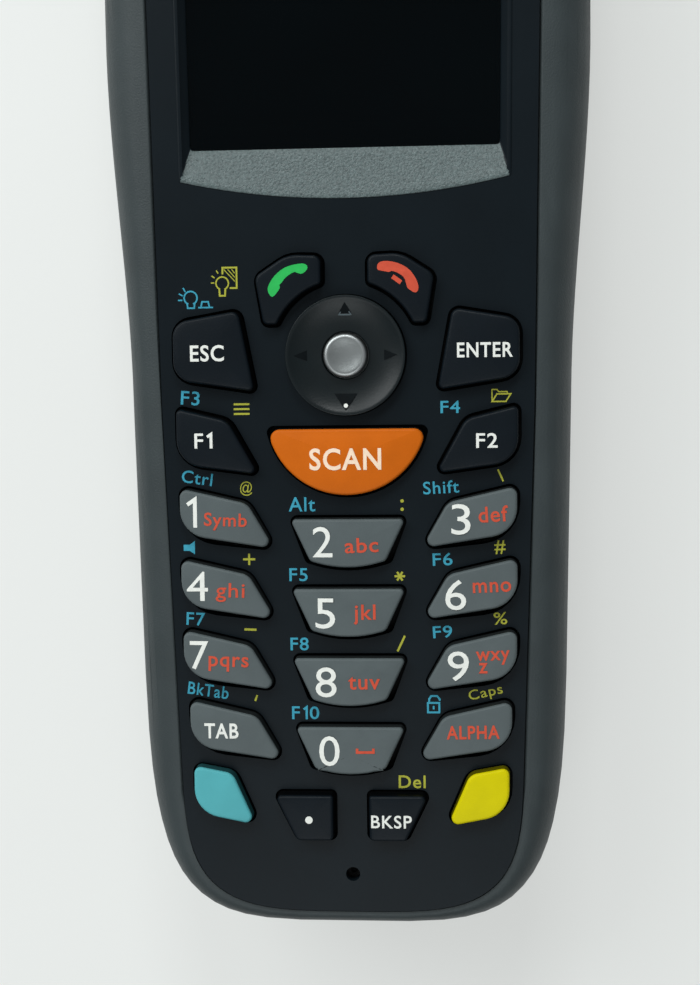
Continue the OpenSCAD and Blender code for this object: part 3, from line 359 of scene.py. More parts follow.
def arc(corners: list[Corner]) -> list[Point]:
    """Rounds the corners of an outline.

    Args:
        corners: x, y and corner radius, anticlockwise.

    Returns:
        The rounded outline, with CORNER_STEPS + 1 points for each corner.
    """
    points: list[Point] = []
    count = len(corners)
    for i, (x, y, radius) in enumerate(corners):
        here = Vector((x, y))
        before = (Vector(corners[i - 1][:2]) - here).normalized()
        after = (Vector(corners[(i + 1) % count][:2]) - here).normalized()
        half = before.angle(after) / 2
        radius = max(radius, 0.02)
        centre = here + (before + after).normalized() * radius / math.sin(half)
        first = here + before * radius / math.tan(half) - centre
        for k in range(CORNER_STEPS + 1):
            spot = centre + Matrix.Rotation((math.pi - 2 * half) * k / CORNER_STEPS, 2) @ first
            points.append((spot.x, spot.y))
    return points


def bow(centre: Vector, radius: float, start: float, end: float, steps: int) -> list[Point]:
    """Points on a circle from one angle to another, in degrees."""
    angles = [math.radians(start + (end - start) * k / steps) for k in range(steps + 1)]
    return [(centre.x + radius * math.cos(a), centre.y + radius * math.sin(a)) for a in angles]


def inset(points: list[Point], distance: float) -> list[Point]:
    """Moves an anticlockwise outline inwards by this distance on every side."""
    moved: list[Point] = []
    count = len(points)
    for i in range(count):
        a, b, c = (Vector(points[j % count]) for j in (i - 1, i, i + 1))
        one, two = (b - a).normalized(), (c - b).normalized()
        one, two = Vector((-one.y, one.x)), Vector((-two.y, two.x))
        spot = b + (one + two) * distance / max(0.3, 1 + one.dot(two))
        moved.append((spot.x, spot.y))
    return moved


def at(points: list[Point], z: float) -> Ring:
    """Gives an outline a height."""
    return [(x, y, z) for x, y in points]


def flipped(corners: list[Corner]) -> list[Corner]:
    """Mirrors an outline to the left-hand side, still anticlockwise."""
    return [(-x, y, r) for x, y, r in reversed(corners)]


@dataclass(frozen=True)
class Word:
    """A printed word or figure, given by the box that its ink fills, with a turn in degrees."""

    text: str
    left: float
    right: float
    low: float
    high: float
    turn: float = 0.0
    weight: float = 0.0

    def mesh(self, thick: float) -> Piece:
        """Makes the word as a thin solid round the height 0, at its place in the plane.

        Args:
            thick: thickness in millimetres.

        Returns:
            The word's mesh, at the origin.
        """
        Bench.only()
        bpy.ops.object.text_add()
        piece = bpy.context.active_object
        piece.data.body = self.text
        piece.data.size = 1.0
        piece.data.resolution_u = 4
        piece.data.offset = self.weight
        piece.data.space_character = 1.1
        piece.data.extrude = 0.5
        bpy.ops.object.convert(target="MESH")
        piece = bpy.context.active_object
        xs = [v.co.x for v in piece.data.vertices]
        ys = [v.co.y for v in piece.data.vertices]
        wide = (self.right - self.left) / (max(xs) - min(xs)) * MM
        tall = (self.high - self.low) / (max(ys) - min(ys)) * MM
        grow = Matrix.Diagonal((wide, tall, thick * MM, 1.0))
        middle = Vector(((self.left + self.right) / 2, (self.low + self.high) / 2, 0.0)) * MM
        centre = Vector(((max(xs) + min(xs)) / 2, (max(ys) + min(ys)) / 2, 0.0))
        turn = Matrix.Rotation(math.radians(self.turn), 4, "Z")
        piece.data.transform(Matrix.Translation(middle) @ turn @ grow @ Matrix.Translation(-centre))
        Bench.only(piece)
        bpy.ops.object.mode_set(mode="EDIT")
        bpy.ops.mesh.select_all(action="SELECT")
        bpy.ops.mesh.remove_doubles(threshold=0.0005 * MM)
        bpy.ops.object.mode_set(mode="OBJECT")
        return piece


@dataclass(frozen=True)
class Stroke:
    """A printed line of even width through points, open or closed."""

    points: tuple[Point, ...]
    width: float = 0.2
    closed: bool = False

    def mesh(self, thick: float) -> Piece:
        """Makes the line as a thin solid round the height 0.

        Args:
            thick: thickness in millimetres.

        Returns:
            The line's mesh, at the origin.
        """
        spots = [Vector(p) for p in self.points]
        before, after = 2 * spots[0] - spots[1], 2 * spots[-1] - spots[-2]
        if self.closed:
            before, after = spots[-1], spots[0]
        spots = [before, *spots, after]
        sides: tuple[list[Point], list[Point]] = ([], [])
        for a, here, b in zip(spots, spots[1:], spots[2:]):
            one, two = (here - a).normalized(), (b - here).normalized()
            one, two = Vector((-one.y, one.x)), Vector((-two.y, two.x))
            reach = (one + two) * self.width / 2 / max(0.4, 1 + one.dot(two))
            sides[0].append(tuple(here - reach))
            sides[1].append(tuple(here + reach))
        low, high = -thick / 2, thick / 2
        if self.closed:
            rings = [at(sides[0], low), at(sides[0], high), at(sides[1], high), at(sides[1], low)]
            return Bench.solid("line", rings, hoop=True)
        outline = [*sides[0], *reversed(sides[1])]
        return Bench.solid("line", [at(outline, low), at(outline, high)])


@dataclass(frozen=True)
class Patch:
    """A printed filled shape through points, anticlockwise, with its corners cut this many times."""

    points: tuple[Point, ...]
    cuts: int = 0

    def mesh(self, thick: float) -> Piece:
        """Makes the shape as a thin solid round the height 0."""
        outline = list(self.points)
        for _ in range(self.cuts):
            ends = zip(outline, [*outline[1:], outline[0]])
            outline = [
                (a[0] + (b[0] - a[0]) * share, a[1] + (b[1] - a[1]) * share)
                for a, b in ends
                for share in (0.25, 0.75)
            ]
        return Bench.solid("patch", [at(outline, -thick / 2), at(outline, thick / 2)])


Mark = Word | Stroke | Patch


def disc(x: float, y: float, radius: float, steps: int = 24) -> tuple[Point, ...]:
    """Points of a circle, anticlockwise."""
    return tuple(
        (x + radius * math.cos(math.tau * k / steps), y + radius * math.sin(math.tau * k / steps))
        for k in range(steps)
    )


@dataclass
class Print:
    """Ink of one finish on one body: words and marks laid on a surface."""

    name: str
    finish: Finish
    body: str
    marks: list[Mark]
    slot: str
    thick: float = 0.06
    sink: float = 0.02
    step: float = 0.004

    def build(self, surface: "Surface") -> None:
        """Makes the marks and lays them on the surface."""
        meshes = [mark.mesh(self.thick) for mark in self.marks]
        for k, mesh in enumerate(meshes):
            mesh.data.transform(Matrix.Translation((0.0, 0.0, self.step * (k % 4) * MM)))
        piece = Bench.joined(self.name, meshes)
        for vertex in piece.data.vertices:
            x, y = vertex.co.x / MM, vertex.co.y / MM
            vertex.co.z += (surface.at(x, y) + self.thick / 2 - self.sink) * MM
        self.finish.dress(piece)
        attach(piece, self.body)
        LOG.info("printed %s with %d marks", self.name, len(self.marks))


@dataclass
class Surface:
    """A flat surface at one height, in millimetres."""

    height: float

    def at(self, x: float, y: float) -> float:
        """Height at a place."""
        return self.height


@dataclass
class Crown(Surface):
    """A key's top, which falls away slightly from its middle."""

    middle: Point
    drop: float = 0.35
    reach: float = 6.0

    def at(self, x: float, y: float) -> float:
        """Height at a place."""
        away = math.hypot(x - self.middle[0], y - self.middle[1])
        return self.height - self.drop * (away / self.reach) ** 2


@dataclass
class Dish(Surface):
    """The dished top of the navigation ring, given by radius and height over the front panel."""

    height: float = FRONT
    profile: tuple[Point, ...] = (
        (3.1, 0.62), (3.6, 0.64), (4.2, 0.7), (4.8, 0.8), (5.4, 0.94), (5.9, 1.1), (6.3, 1.26), (6.62, 1.4),
    )

    def at(self, x: float, y: float) -> float:
        """Height at a place, from the ring's own profile."""
        away = math.hypot(x, y - RING_Y)
        for (r0, h0), (r1, h1) in zip(self.profile, self.profile[1:]):
            if away <= r1:
                return self.height + h0 + (h1 - h0) * max(0.0, (away - r0) / (r1 - r0)) + 0.01
        return self.height + self.profile[-1][1]


@dataclass
class Key:
    """One sprung key cap with an eased rim, its flange and its plunger."""

    name: str
    outline: list[Point]
    finish: Finish
    middle: Point
    ease: float = 0.32
    draft: float = 0.08
    flange: float = 0.45
    flange_gap: float = 0.1
    ledge_half: float = 19.9
    ledge_flare: float = 0.03
    ledge_y: float = -14.0
    stem_r: float = 1.0
    crown_shares: tuple[float, ...] = (0.88, 0.72, 0.54, 0.36, 0.18)
    side_slope: float = 0.12
    # Share of the key's colour on its steep sides above the panel, as painted shade.
    side_shade_share: float = 0.16

    def build(self) -> None:
        """Makes the cap in the place of its node."""
        top = Crown(KEY_TOP, self.middle)
        base = [self._kept(p) for p in inset(self.outline, -self.flange)]
        under = PANEL_UNDER - self.flange_gap
        rings = [at(base, FLANGE_UNDER), at(base, under), at(self.outline, under), at(self.outline, FRONT)]
        for turn in range(0, 91, 15):
            line = inset(self.outline, self.draft + self.ease * (1 - math.cos(math.radians(turn))))
            fall = self.ease * (1 - math.sin(math.radians(turn)))
            rings.append([(x, y, top.at(x, y) - fall) for x, y in line])
        a, b = self.middle
        rim = inset(self.outline, self.draft + self.ease)
        for share in self.crown_shares:
            line = [(a + (x - a) * share, b + (y - b) * share) for x, y in rim]
            rings.append([(x, y, top.at(x, y)) for x, y in line])
        cap = Bench.solid(f"{self.name}_cap", rings)
        foot = list(disc(a, b, self.stem_r))
        stem = Bench.solid("stem", [at(foot, STEM_FOOT), at(foot, FLANGE_UNDER + 0.2)])
        piece = Bench.joined(f"{self.name}_cap", [cap, stem])
        Bench.finished(piece, self.name, self.finish)
        # Steep faces above the panel take the darker copy of the key's colour, and faces lower down take the
        # near-black: both are painted shade on the key's sides and in its gap.
        piece.data.materials.append(self.finish.painted_shade_copy(self.side_shade_share).material())
        piece.data.materials.append(KEY_GAP_SHADE.material())
        for face in piece.data.polygons:
            side = 0 if face.normal.z > self.side_slope else 1
            face.material_index = side if face.center.z > (FRONT + 0.5) * MM else 2

    def _kept(self, spot: Point) -> Point:
        """Keeps a flange point clear of the rear housing's ledge."""
        limit = self.ledge_half + self.ledge_flare * (spot[1] - self.ledge_y)
        return (max(-limit, min(limit, spot[0])), spot[1])


@dataclass
class Keypad:
    """All the keys with their printed legends."""

    digits_y: float = -23.2
    row_pitch: float = 8.15
    middle_pitch: float = 7.96
    middle_drop: float = 3.65
    wing_halves: tuple[float, ...] = (19.2, 19.2, 19.1, 18.5)
    middle_halves: tuple[float, ...] = (6.55, 6.5, 6.5, 6.3)
    keys: dict[str, Key] = field(default_factory=dict)

    def wing(self, row: int, side: Side) -> list[Corner]:
        """Outline of a key in an outer column."""
        outer = self.wing_halves[row]
        y = self.digits_y - row * self.row_pitch
        right = [
            (outer, y, 0.9),
            (outer - 7.9, y - 1.8, 2.0),
            (outer - 11.0, y - 7.2, 0.8),
            (outer, y - 5.4, 3.4),
        ]
        return right if side is Side.RIGHT else flipped(right)

    def middle(self, row: int) -> list[Corner]:
        """Outline of a key in the middle column."""
        half = self.middle_halves[row]
        y = self.digits_y - self.middle_drop - row * self.middle_pitch
        return [
            (half + 0.12, y, 0.5),
            (-half - 0.12, y, 0.5),
            (-half + 2.2, y - 4.9, 0.9),
            (0.0, y - 6.15, 13.0),
            (half - 2.2, y - 4.9, 0.9),
        ]

    def scan(self) -> list[Point]:
        """Outline of the scan key: the lower part of a disc under a flat top, its corners rounded."""
        radius, centre, top, corner_r = 9.25, -15.01, -16.65, 1.15
        up = top - corner_r - centre
        out = math.sqrt((radius - corner_r) ** 2 - up**2)
        meet = math.degrees(math.atan2(up, out))
        lower = bow(Vector((0.0, centre)), radius, -180.0 - meet, meet, 40)
        right = bow(Vector((out, top - corner_r)), corner_r, meet, 90.0, 8)[1:]
        left = [(-x, y) for x, y in reversed(right)]
        return [*lower, *right, *left[:-1]]

    def call(self, side: Side) -> list[Point]:
        """Outline of a call key: a wing whose lower edge follows the navigation ring."""
        near, low, tip, radius = 2.55, -4.95, 0.5, 8.4
        whole = [(9.25, low, 0.7), (10.15, 0.5, 1.2), (6.4, 2.95, 4.0), (near, 2.8, 1.0), (near, low, 0.02)]
        corners = arc(whole)[: -CORNER_STEPS - 1]
        reach = radius + tip
        inner = Vector((near + tip, math.sqrt(reach**2 - (near + tip) ** 2)))
        up = low + tip - RING_Y
        outer = Vector((math.sqrt(reach**2 - up**2), up))
        first, last = (math.degrees(math.atan2(spot.y, spot.x)) for spot in (inner, outer))
        middle = Vector((0.0, RING_Y))
        outline = [
            *corners,
            *bow(middle + inner, tip, 180.0, 180.0 + first, 5),
            *bow(middle, radius, first - 2.0, last + 2.0, 24),
            *bow(middle + outer, tip, 180.0 + last, 270.0, 5),
        ]
        return outline if side is Side.RIGHT else [(-x, y) for x, y in reversed(outline)]

    def add(self, name: str, outline: list[Corner], finish: Finish) -> None:
        """Adds a key whose outline is this corner list, rounded."""
        count = len(outline)
        middle = (sum(c[0] for c in outline) / count, sum(c[1] for c in outline) / count)
        self.keys[f"key_{name}"] = Key(f"key_{name}", arc(outline), finish, middle)

    def build(self) -> None:
        """Builds every key and its legends."""
        escape = [(19.6, -4.5, 2.0), (12.0, -3.2, 1.0), (10.25, -12.5, 0.6), (19.6, -11.05, 2.4)]
        function = [(19.4, -14.15, 0.6), (13.4, -15.6, 2.2), (9.9, -21.9, 0.6), (19.4, -20.6, 3.2)]
        colour = [(18.15, -55.25, 0.8), (13.55, -56.12, 1.6), (10.85, -62.35, 0.8), (18.15, -60.8, 3.4)]
        foot = [(8.95, -58.65, 0.6), (2.0, -58.65, 0.4), (2.0, -64.05, 0.6), (6.3, -64.05, 0.7)]
        self.add("escape", flipped(escape), KEY_BLACK)
        self.add("enter", escape, KEY_BLACK)
        self.add("f1", flipped(function), KEY_BLACK)
        self.add("f2", function, KEY_BLACK)
        self.add("blue", flipped(colour), KEY_TEAL)
        self.add("yellow", colour, KEY_YELLOW)
        self.add("dot", flipped(foot), KEY_BLACK)
        self.add("backspace", foot, KEY_BLACK)
        rows = (("1", "3"), ("4", "6"), ("7", "9"), ("tab", "alpha"))
        for row, names in enumerate(rows):
            for name, side in zip(names, Side):
                self.add(name, self.wing(row, side), KEY_GREY)
        for row, name in enumerate(("2", "5", "8", "0")):
            self.add(name, self.middle(row), KEY_GREY)
        self.keys["key_scan"] = Key("key_scan", self.scan(), KEY_ORANGE, (0.0, -20.05))
        for word, side in (("call", Side.LEFT), ("end", Side.RIGHT)):
            name = f"key_{word}"
            self.keys[name] = Key(name, self.call(side), KEY_BLACK, (6.9 * side.value, 0.6))
        for key in self.keys.values():
            key.build()
        for legend in Legends().all():
            key = self.keys[legend.body]
            legend.build(Crown(KEY_TOP, key.middle))


# The handset marks of the two call keys, anticlockwise.
HANDSET_DOWN: tuple[Point, ...] = (
    (4.2, 0.9), (5.15, 0.7), (5.35, 0.9), (6.15, 0.6), (6.8, 0.1), (7.0, -0.7), (7.1, -1.1),
    (7.95, -1.65), (8.3, -1.4), (8.35, -0.75), (7.95, 0.2), (7.3, 1.05), (6.3, 1.65), (5.2, 1.95),
    (4.2, 1.95), (3.75, 1.6), (3.75, 1.0),
)
HANDSET_UP: tuple[Point, ...] = (
    (-8.3, -1.7), (-7.95, -1.85), (-7.4, -1.2), (-7.15, -0.8), (-7.25, -0.5), (-7.0, -0.3),
    (-6.6, 0.25), (-6.0, 0.7), (-5.45, 0.95), (-5.2, 0.8), (-4.7, 0.65), (-4.15, 1.05), (-4.0, 1.5),
    (-4.3, 1.8), (-4.85, 1.85), (-6.0, 1.65), (-6.85, 1.3), (-7.7, 0.6), (-8.2, -0.05),
    (-8.55, -0.75), (-8.55, -1.2),
)


class Legends:
    """The print on the keys."""

    white: dict[str, list[Mark]] = {
        "escape": [Word("ESC", -17.5, -13.65, -8.95, -7.1, weight=0.018)],
        "enter": [Word("ENTER", 12.55, 18.75, -8.85, -7.2, weight=0.018)],
        "f1": [
            Word("F", -17.2, -16.2, -18.75, -17.05, weight=0.012),
            Stroke(((-15.75, -17.45), (-15.3, -17.15), (-15.3, -18.75)), 0.32),
        ],
        "f2": [Word("F2", 14.6, 17.0, -18.95, -17.3, weight=0.012)],
        "1": [Stroke(((-18.2, -25.15), (-17.32, -24.55), (-17.32, -27.75)), 0.44)],
        "2": [Word("2", -3.95, -1.7, -31.2, -27.75)],
        "3": [Word("3", 11.75, 13.9, -28.7, -25.25)],
        "4": [Word("4", -18.45, -16.0, -36.15, -32.8)],
        "5": [Word("5", -3.75, -1.5, -39.35, -35.9)],
        "6": [Word("6", 11.0, 13.35, -37.25, -33.8)],
        "7": [Word("7", -18.25, -16.1, -44.05, -40.8)],
        "8": [Word("8", -3.85, -1.45, -47.25, -43.8)],
        "9": [Word("9", 11.2, 13.6, -45.35, -41.95)],
        "0": [Word("0", -3.55, -1.2, -55.2, -51.75)],
        "tab": [Word("TAB", -16.75, -12.8, -52.05, -50.3, weight=0.02)],
        "dot": [Patch(disc(-4.85, -61.5, 0.43))],
        "backspace": [Word("BKSP", 2.3, 6.95, -62.4, -60.9, weight=0.012)],
    }
    red: dict[str, list[Mark]] = {
        "1": [Word("Symb", -16.3, -11.4, -28.1, -26.1, -2.0, 0.014)],
        "2": [Word("abc", -0.3, 3.5, -30.7, -29.0, 2.0, 0.014)],
        "3": [Word("def", 14.8, 18.1, -27.3, -25.5, 3.0, 0.014)],
        "4": [Word("ghi", -15.1, -11.8, -36.3, -34.1, -2.0, 0.008)],
        "5": [Word("jkl", 0.6, 3.1, -38.9, -36.6, 0.0, 0.014)],
        "6": [Word("mno", 14.1, 18.4, -35.25, -34.05, 2.0, 0.014)],
        "7": [Word("pqrs", -16.1, -11.5, -44.3, -42.55, -2.0, 0.014)],
        "8": [Word("tuv", -0.1, 3.5, -46.35, -44.85, 0.0, 0.014)],
        "9": [
            Word("wxy", 14.4, 18.2, -43.5, -41.9, 2.0, 0.014),
            Word("z", 14.7, 15.7, -44.45, -43.25, 0.0, 0.014),
        ],
        "0": [Stroke(((0.8, -53.15), (0.8, -53.6), (2.65, -53.6), (2.65, -53.15)), 0.3)],
        "alpha": [Word("ALPHA", 11.0, 17.0, -52.0, -50.45, 1.0, 0.022)],
        "end": [Patch(HANDSET_DOWN, 1), Stroke(((5.45, 0.25), (6.4, -0.45)), 0.5)],
    }
    green: dict[str, list[Mark]] = {"call": [Patch(HANDSET_UP, 1)]}

    def all(self) -> list[Print]:
        """Every printed piece on the keys."""
        scan: list[Mark] = [Word("SCAN", -4.18, 3.95, -21.35, -18.85, weight=0.02)]
        made = [Print("key_scan_print", PRINT_CREAM, "key_scan", scan, "print_white")]
        tables, finishes = (self.white, self.red, self.green), (PRINT_WHITE, PRINT_RED, PRINT_GREEN)
        for table, finish, word in zip(tables, finishes, ("white", "red", "green")):
            for name, marks in table.items():
                made.append(Print(f"key_{name}_print_{word}", finish, f"key_{name}", marks, f"print_{word}"))
        return made


def bulb(x: float, y: float, radius: float) -> tuple[Point, ...]:
    """Points of a light bulb's round glass, open at its foot."""
    points = disc(x, y, radius, 16)
    return points[13:] + points[:12]


class PanelPrint:
    """The second-function legends on the front panel."""

    def blue(self) -> list[Mark]:
        """Marks in blue ink."""
        return [
            Word("F3", -18.95, -16.8, -13.9, -12.3, -4.0, 0.01),
            Word("F4", 10.6, 12.8, -15.1, -13.7, 0.0, 0.01),
            Word("Ctrl", -19.05, -15.5, -22.95, -21.5, -8.0, 0.01),
            Word("Shift", 8.55, 12.6, -24.2, -22.75, 3.0, 0.01),
            Word("Alt", -6.8, -3.75, -26.15, -24.5, 0.0, 0.01),
            Word("F5", -6.85, -4.75, -34.15, -32.65, 0.0, 0.01),
            Word("F6", 9.55, 11.8, -32.4, -30.95, 2.0, 0.01),
            Word("F7", -18.85, -16.7, -39.25, -37.75, -3.0, 0.01),
            Word("F8", -6.85, -4.75, -42.15, -40.65, 0.0, 0.01),
            Word("F9", 9.5, 11.7, -40.7, -39.3, 3.0, 0.01),
            Word("F", -6.8, -5.9, -50.15, -48.65, 0.0, 0.01),
            Stroke(((-5.45, -49.0), (-5.1, -48.75), (-5.1, -50.15)), 0.26),
            Word("0", -4.75, -3.65, -50.15, -48.65, 0.0, 0.01),
            Word("BkTab", -18.85, -14.1, -47.55, -46.1, -8.0, 0.01),
            Patch(
                (
                    (-17.7, -31.0), (-17.7, -29.45), (-18.3, -29.9),
                    (-19.0, -29.9), (-19.0, -30.6), (-18.3, -30.6),
                )
            ),
            Stroke(((8.85, -49.3), (10.15, -49.3), (10.15, -48.2), (8.85, -48.2)), 0.22, True),
            Stroke(
                ((9.0, -48.2), (9.0, -47.75), (9.25, -47.4), (9.9, -47.4), (10.2, -47.75), (10.2, -47.95)),
                0.22,
            ),
            Stroke(((9.5, -48.55), (9.5, -48.95)), 0.2),
            Stroke(bulb(-17.6, -1.75, 0.75), 0.18),
            Stroke(((-18.0, -2.35), (-17.95, -2.9), (-17.2, -2.9), (-17.15, -2.35)), 0.18),
            Stroke(((-16.75, -2.85), (-15.05, -2.85)), 0.18),
            Stroke(((-16.45, -2.85), (-16.3, -2.2), (-15.6, -2.2), (-15.45, -2.85)), 0.18),
            Stroke(((-18.55, -2.0), (-19.05, -2.0)), 0.16),
            Stroke(((-18.5, -1.5), (-18.95, -1.25)), 0.16),
            Stroke(((-18.2, -1.05), (-18.45, -0.6)), 0.16),
        ]

    def lime(self) -> list[Mark]:
        """Marks in yellow-green ink."""
        hatch = [Stroke(((-12.85 - k * 0.45, 1.4), (-12.5, 0.95 - k * 0.45)), 0.1) for k in range(3)]
        menu = [Stroke(((-12.9, -14.95 + k * 0.55), (-11.1, -14.95 + k * 0.55)), 0.22) for k in range(3)]
        return [
            Word("@", -12.35, -10.95, -24.3, -22.65),
            Patch(disc(6.15, -25.0, 0.2, 12)),
            Patch(disc(6.15, -25.95, 0.2, 12)),
            Stroke(((17.0, -21.5), (17.6, -22.85)), 0.2),
            Stroke(((-12.15, -31.6), (-10.75, -31.6)), 0.24),
            Stroke(((-11.45, -30.95), (-11.45, -32.25)), 0.24),
            Stroke(((5.2, -33.6), (6.4, -33.6)), 0.24),
            Stroke(((5.5, -33.1), (6.1, -34.1)), 0.24),
            Stroke(((6.1, -33.1), (5.5, -34.1)), 0.24),
            Word("#", 16.55, 17.8, -31.1, -29.55, 2.0, 0.01),
            Stroke(((-12.15, -39.7), (-10.75, -39.75)), 0.26),
            Stroke(((5.45, -42.25), (6.3, -40.45)), 0.24),
            Word("%", 16.4, 17.95, -39.15, -37.75, 2.0, 0.01),
            Stroke(((-10.8, -47.35), (-11.05, -48.05)), 0.22),
            Word("Caps", 13.5, 17.4, -47.85, -46.35, 13.0, 0.006),
            Word("Del", 5.4, 8.5, -58.15, -56.65, 0.0, 0.012),
            Stroke(
                (
                    (16.4, -13.85), (16.4, -12.5), (16.95, -12.5),
                    (17.15, -12.75), (18.1, -12.75), (18.1, -13.0),
                ),
                0.14,
            ),
            Stroke(((16.4, -13.85), (16.95, -13.0), (18.5, -13.0), (17.95, -13.85)), 0.16, True),
            Stroke(bulb(-13.95, -0.15, 0.72), 0.16),
            Stroke(((-14.3, -0.75), (-14.25, -1.55), (-13.65, -1.55), (-13.6, -0.75)), 0.2),
            Stroke(((-13.9, 0.85), (-13.9, 1.6), (-12.3, 1.6), (-12.3, -0.7), (-13.1, -0.7)), 0.2),
            Stroke(((-14.85, -0.1), (-15.25, -0.1)), 0.14),
            Stroke(((-14.8, 0.45), (-15.15, 0.7)), 0.14),
            Stroke(((-14.4, 0.95), (-14.6, 1.3)), 0.14),
            *hatch,
            *menu,
        ]

    def build(self) -> None:
        """Prints both inks on the panel."""
        for word, finish, marks in (("blue", PRINT_BLUE, self.blue()), ("lime", PRINT_LIME, self.lime())):
            Print(f"panel_print_{word}", finish, "housing", marks, f"print_{word}").build(Surface(FRONT))


@dataclass
class Navigation:
    """The dished navigation ring with its four marks, and the silver button in it.

    Profiles give radius and height over the front panel.
    """

    button_r: float = 2.45
    button_gap: float = 0.2
    bore_step: float = 1.1
    wall_r: float = 6.7
    flange_r: float = 7.2
    tilt: float = 3.0
    turn_steps: int = 96
    # Radii of the rim band that carries the painted highlight.
    rim: tuple[float, float] = (2.05, 2.46)
    button_profile: tuple[Point, ...] = (
        (1.0, STEM_FOOT - FRONT), (1.0, -1.7), (3.2, -1.7), (3.2, -0.9), (2.45, -0.9), (2.45, 1.1),
        (2.44, 1.38), (2.39, 1.53), (2.3, 1.64), (2.17, 1.71), (2.02, 1.73), (1.8, 1.7),
        (1.5, 1.63), (1.15, 1.57), (0.75, 1.53), (0.35, 1.51), (0.15, 1.505),
    )

    def lathe(self, name: str, profile: list[Point], hoop: bool = False) -> Piece:
        """Turns a profile round the navigation axis.

        Args:
            name: the piece's name.
            profile: from the lowest outside point up to the inside.
            hoop: whether the profile runs back to its start, as on a ring.

        Returns:
            The turned piece.
        """
        rings = [at(list(disc(0.0, RING_Y, r, self.turn_steps)), FRONT + h) for r, h in profile]
        return Bench.solid(name, rings, hoop)

    def ring_profile(self) -> list[Point]:
        """The ring's section, whose flange stays clear of the panel when the ring tilts."""
        under = PANEL_UNDER - FRONT - self.flange_r * math.sin(math.radians(self.tilt)) - 0.1
        inner, bore = self.button_r + self.button_gap, self.button_r + self.bore_step
        flange = [(bore, under - 0.7), (self.flange_r, under - 0.7), (self.flange_r, under)]
        wall = [(self.wall_r, under), (self.wall_r, 0.56), (6.77, 0.74), (6.77, 1.3), (6.73, 1.37)]
        inside = [(inner + 0.1, 0.62), (inner, 0.52), (inner, -0.65), (bore, -0.65)]
        return [*flange, *wall, *reversed(Dish.profile), *inside]

    def build(self) -> None:
        """Builds the ring, its marks and the button."""
        ring = self.lathe("navigation_ring_top", self.ring_profile(), hoop=True)
        Bench.finished(ring, "navigation_ring", RING)
        button = self.lathe("navigation_button_top", list(self.button_profile))
        Bench.finished(button, "navigation_button", SILVER)
        # Faces of the rim band take the lighter silver, a painted highlight.
        button.data.materials.append(SILVER_RIM_HIGHLIGHT.material())
        for face in button.data.polygons:
            away = math.hypot(face.center.x / MM, face.center.y / MM - RING_Y)
            on_painted_highlight = self.rim[0] < away < self.rim[1] and face.center.z > (FRONT + 1.1) * MM
            face.material_index = 1 if on_painted_highlight else 0
        self.marks()

    def marks(self) -> None:
        """Prints the four direction marks in the ring's dish."""
        surface = Dish()
        y = RING_Y
        light = [Patch(disc(0.0, y - 5.65, 0.24, 12))]
        faint = [
            Stroke(((-0.72, y + 4.5), (-0.42, y + 4.95)), 0.12),
            Stroke(((0.42, y + 4.95), (0.72, y + 4.5)), 0.12),
            Stroke(((-0.6, y + 4.55), (0.6, y + 4.55)), 0.16),
        ]
        dark = [
            Patch(((-5.85, y), (-4.35, y - 0.6), (-4.35, y + 0.6))),
            Patch(((5.85, y), (4.35, y + 0.6), (4.35, y - 0.6))),
            Patch(((-0.75, y + 4.7), (0.75, y + 4.7), (0.0, y + 5.95))),
            Patch(((1.3, y - 4.3), (-1.3, y - 4.3), (0.0, y - 6.2))),
        ]
        for word, finish, marks, slot, thick, sink in (
            ("light", PRINT_WHITE, light, "print_white", 0.05, -0.07),
            ("faint", PRINT_GREY, faint, "ring_grey", 0.05, 0.02),
            ("dark", RING_MARK, dark, "black_rubber", 0.03, 0.02),
        ):
            name = f"navigation_ring_marks_{word}"
            Print(name, finish, "navigation_ring", marks, slot, thick, sink).build(surface)


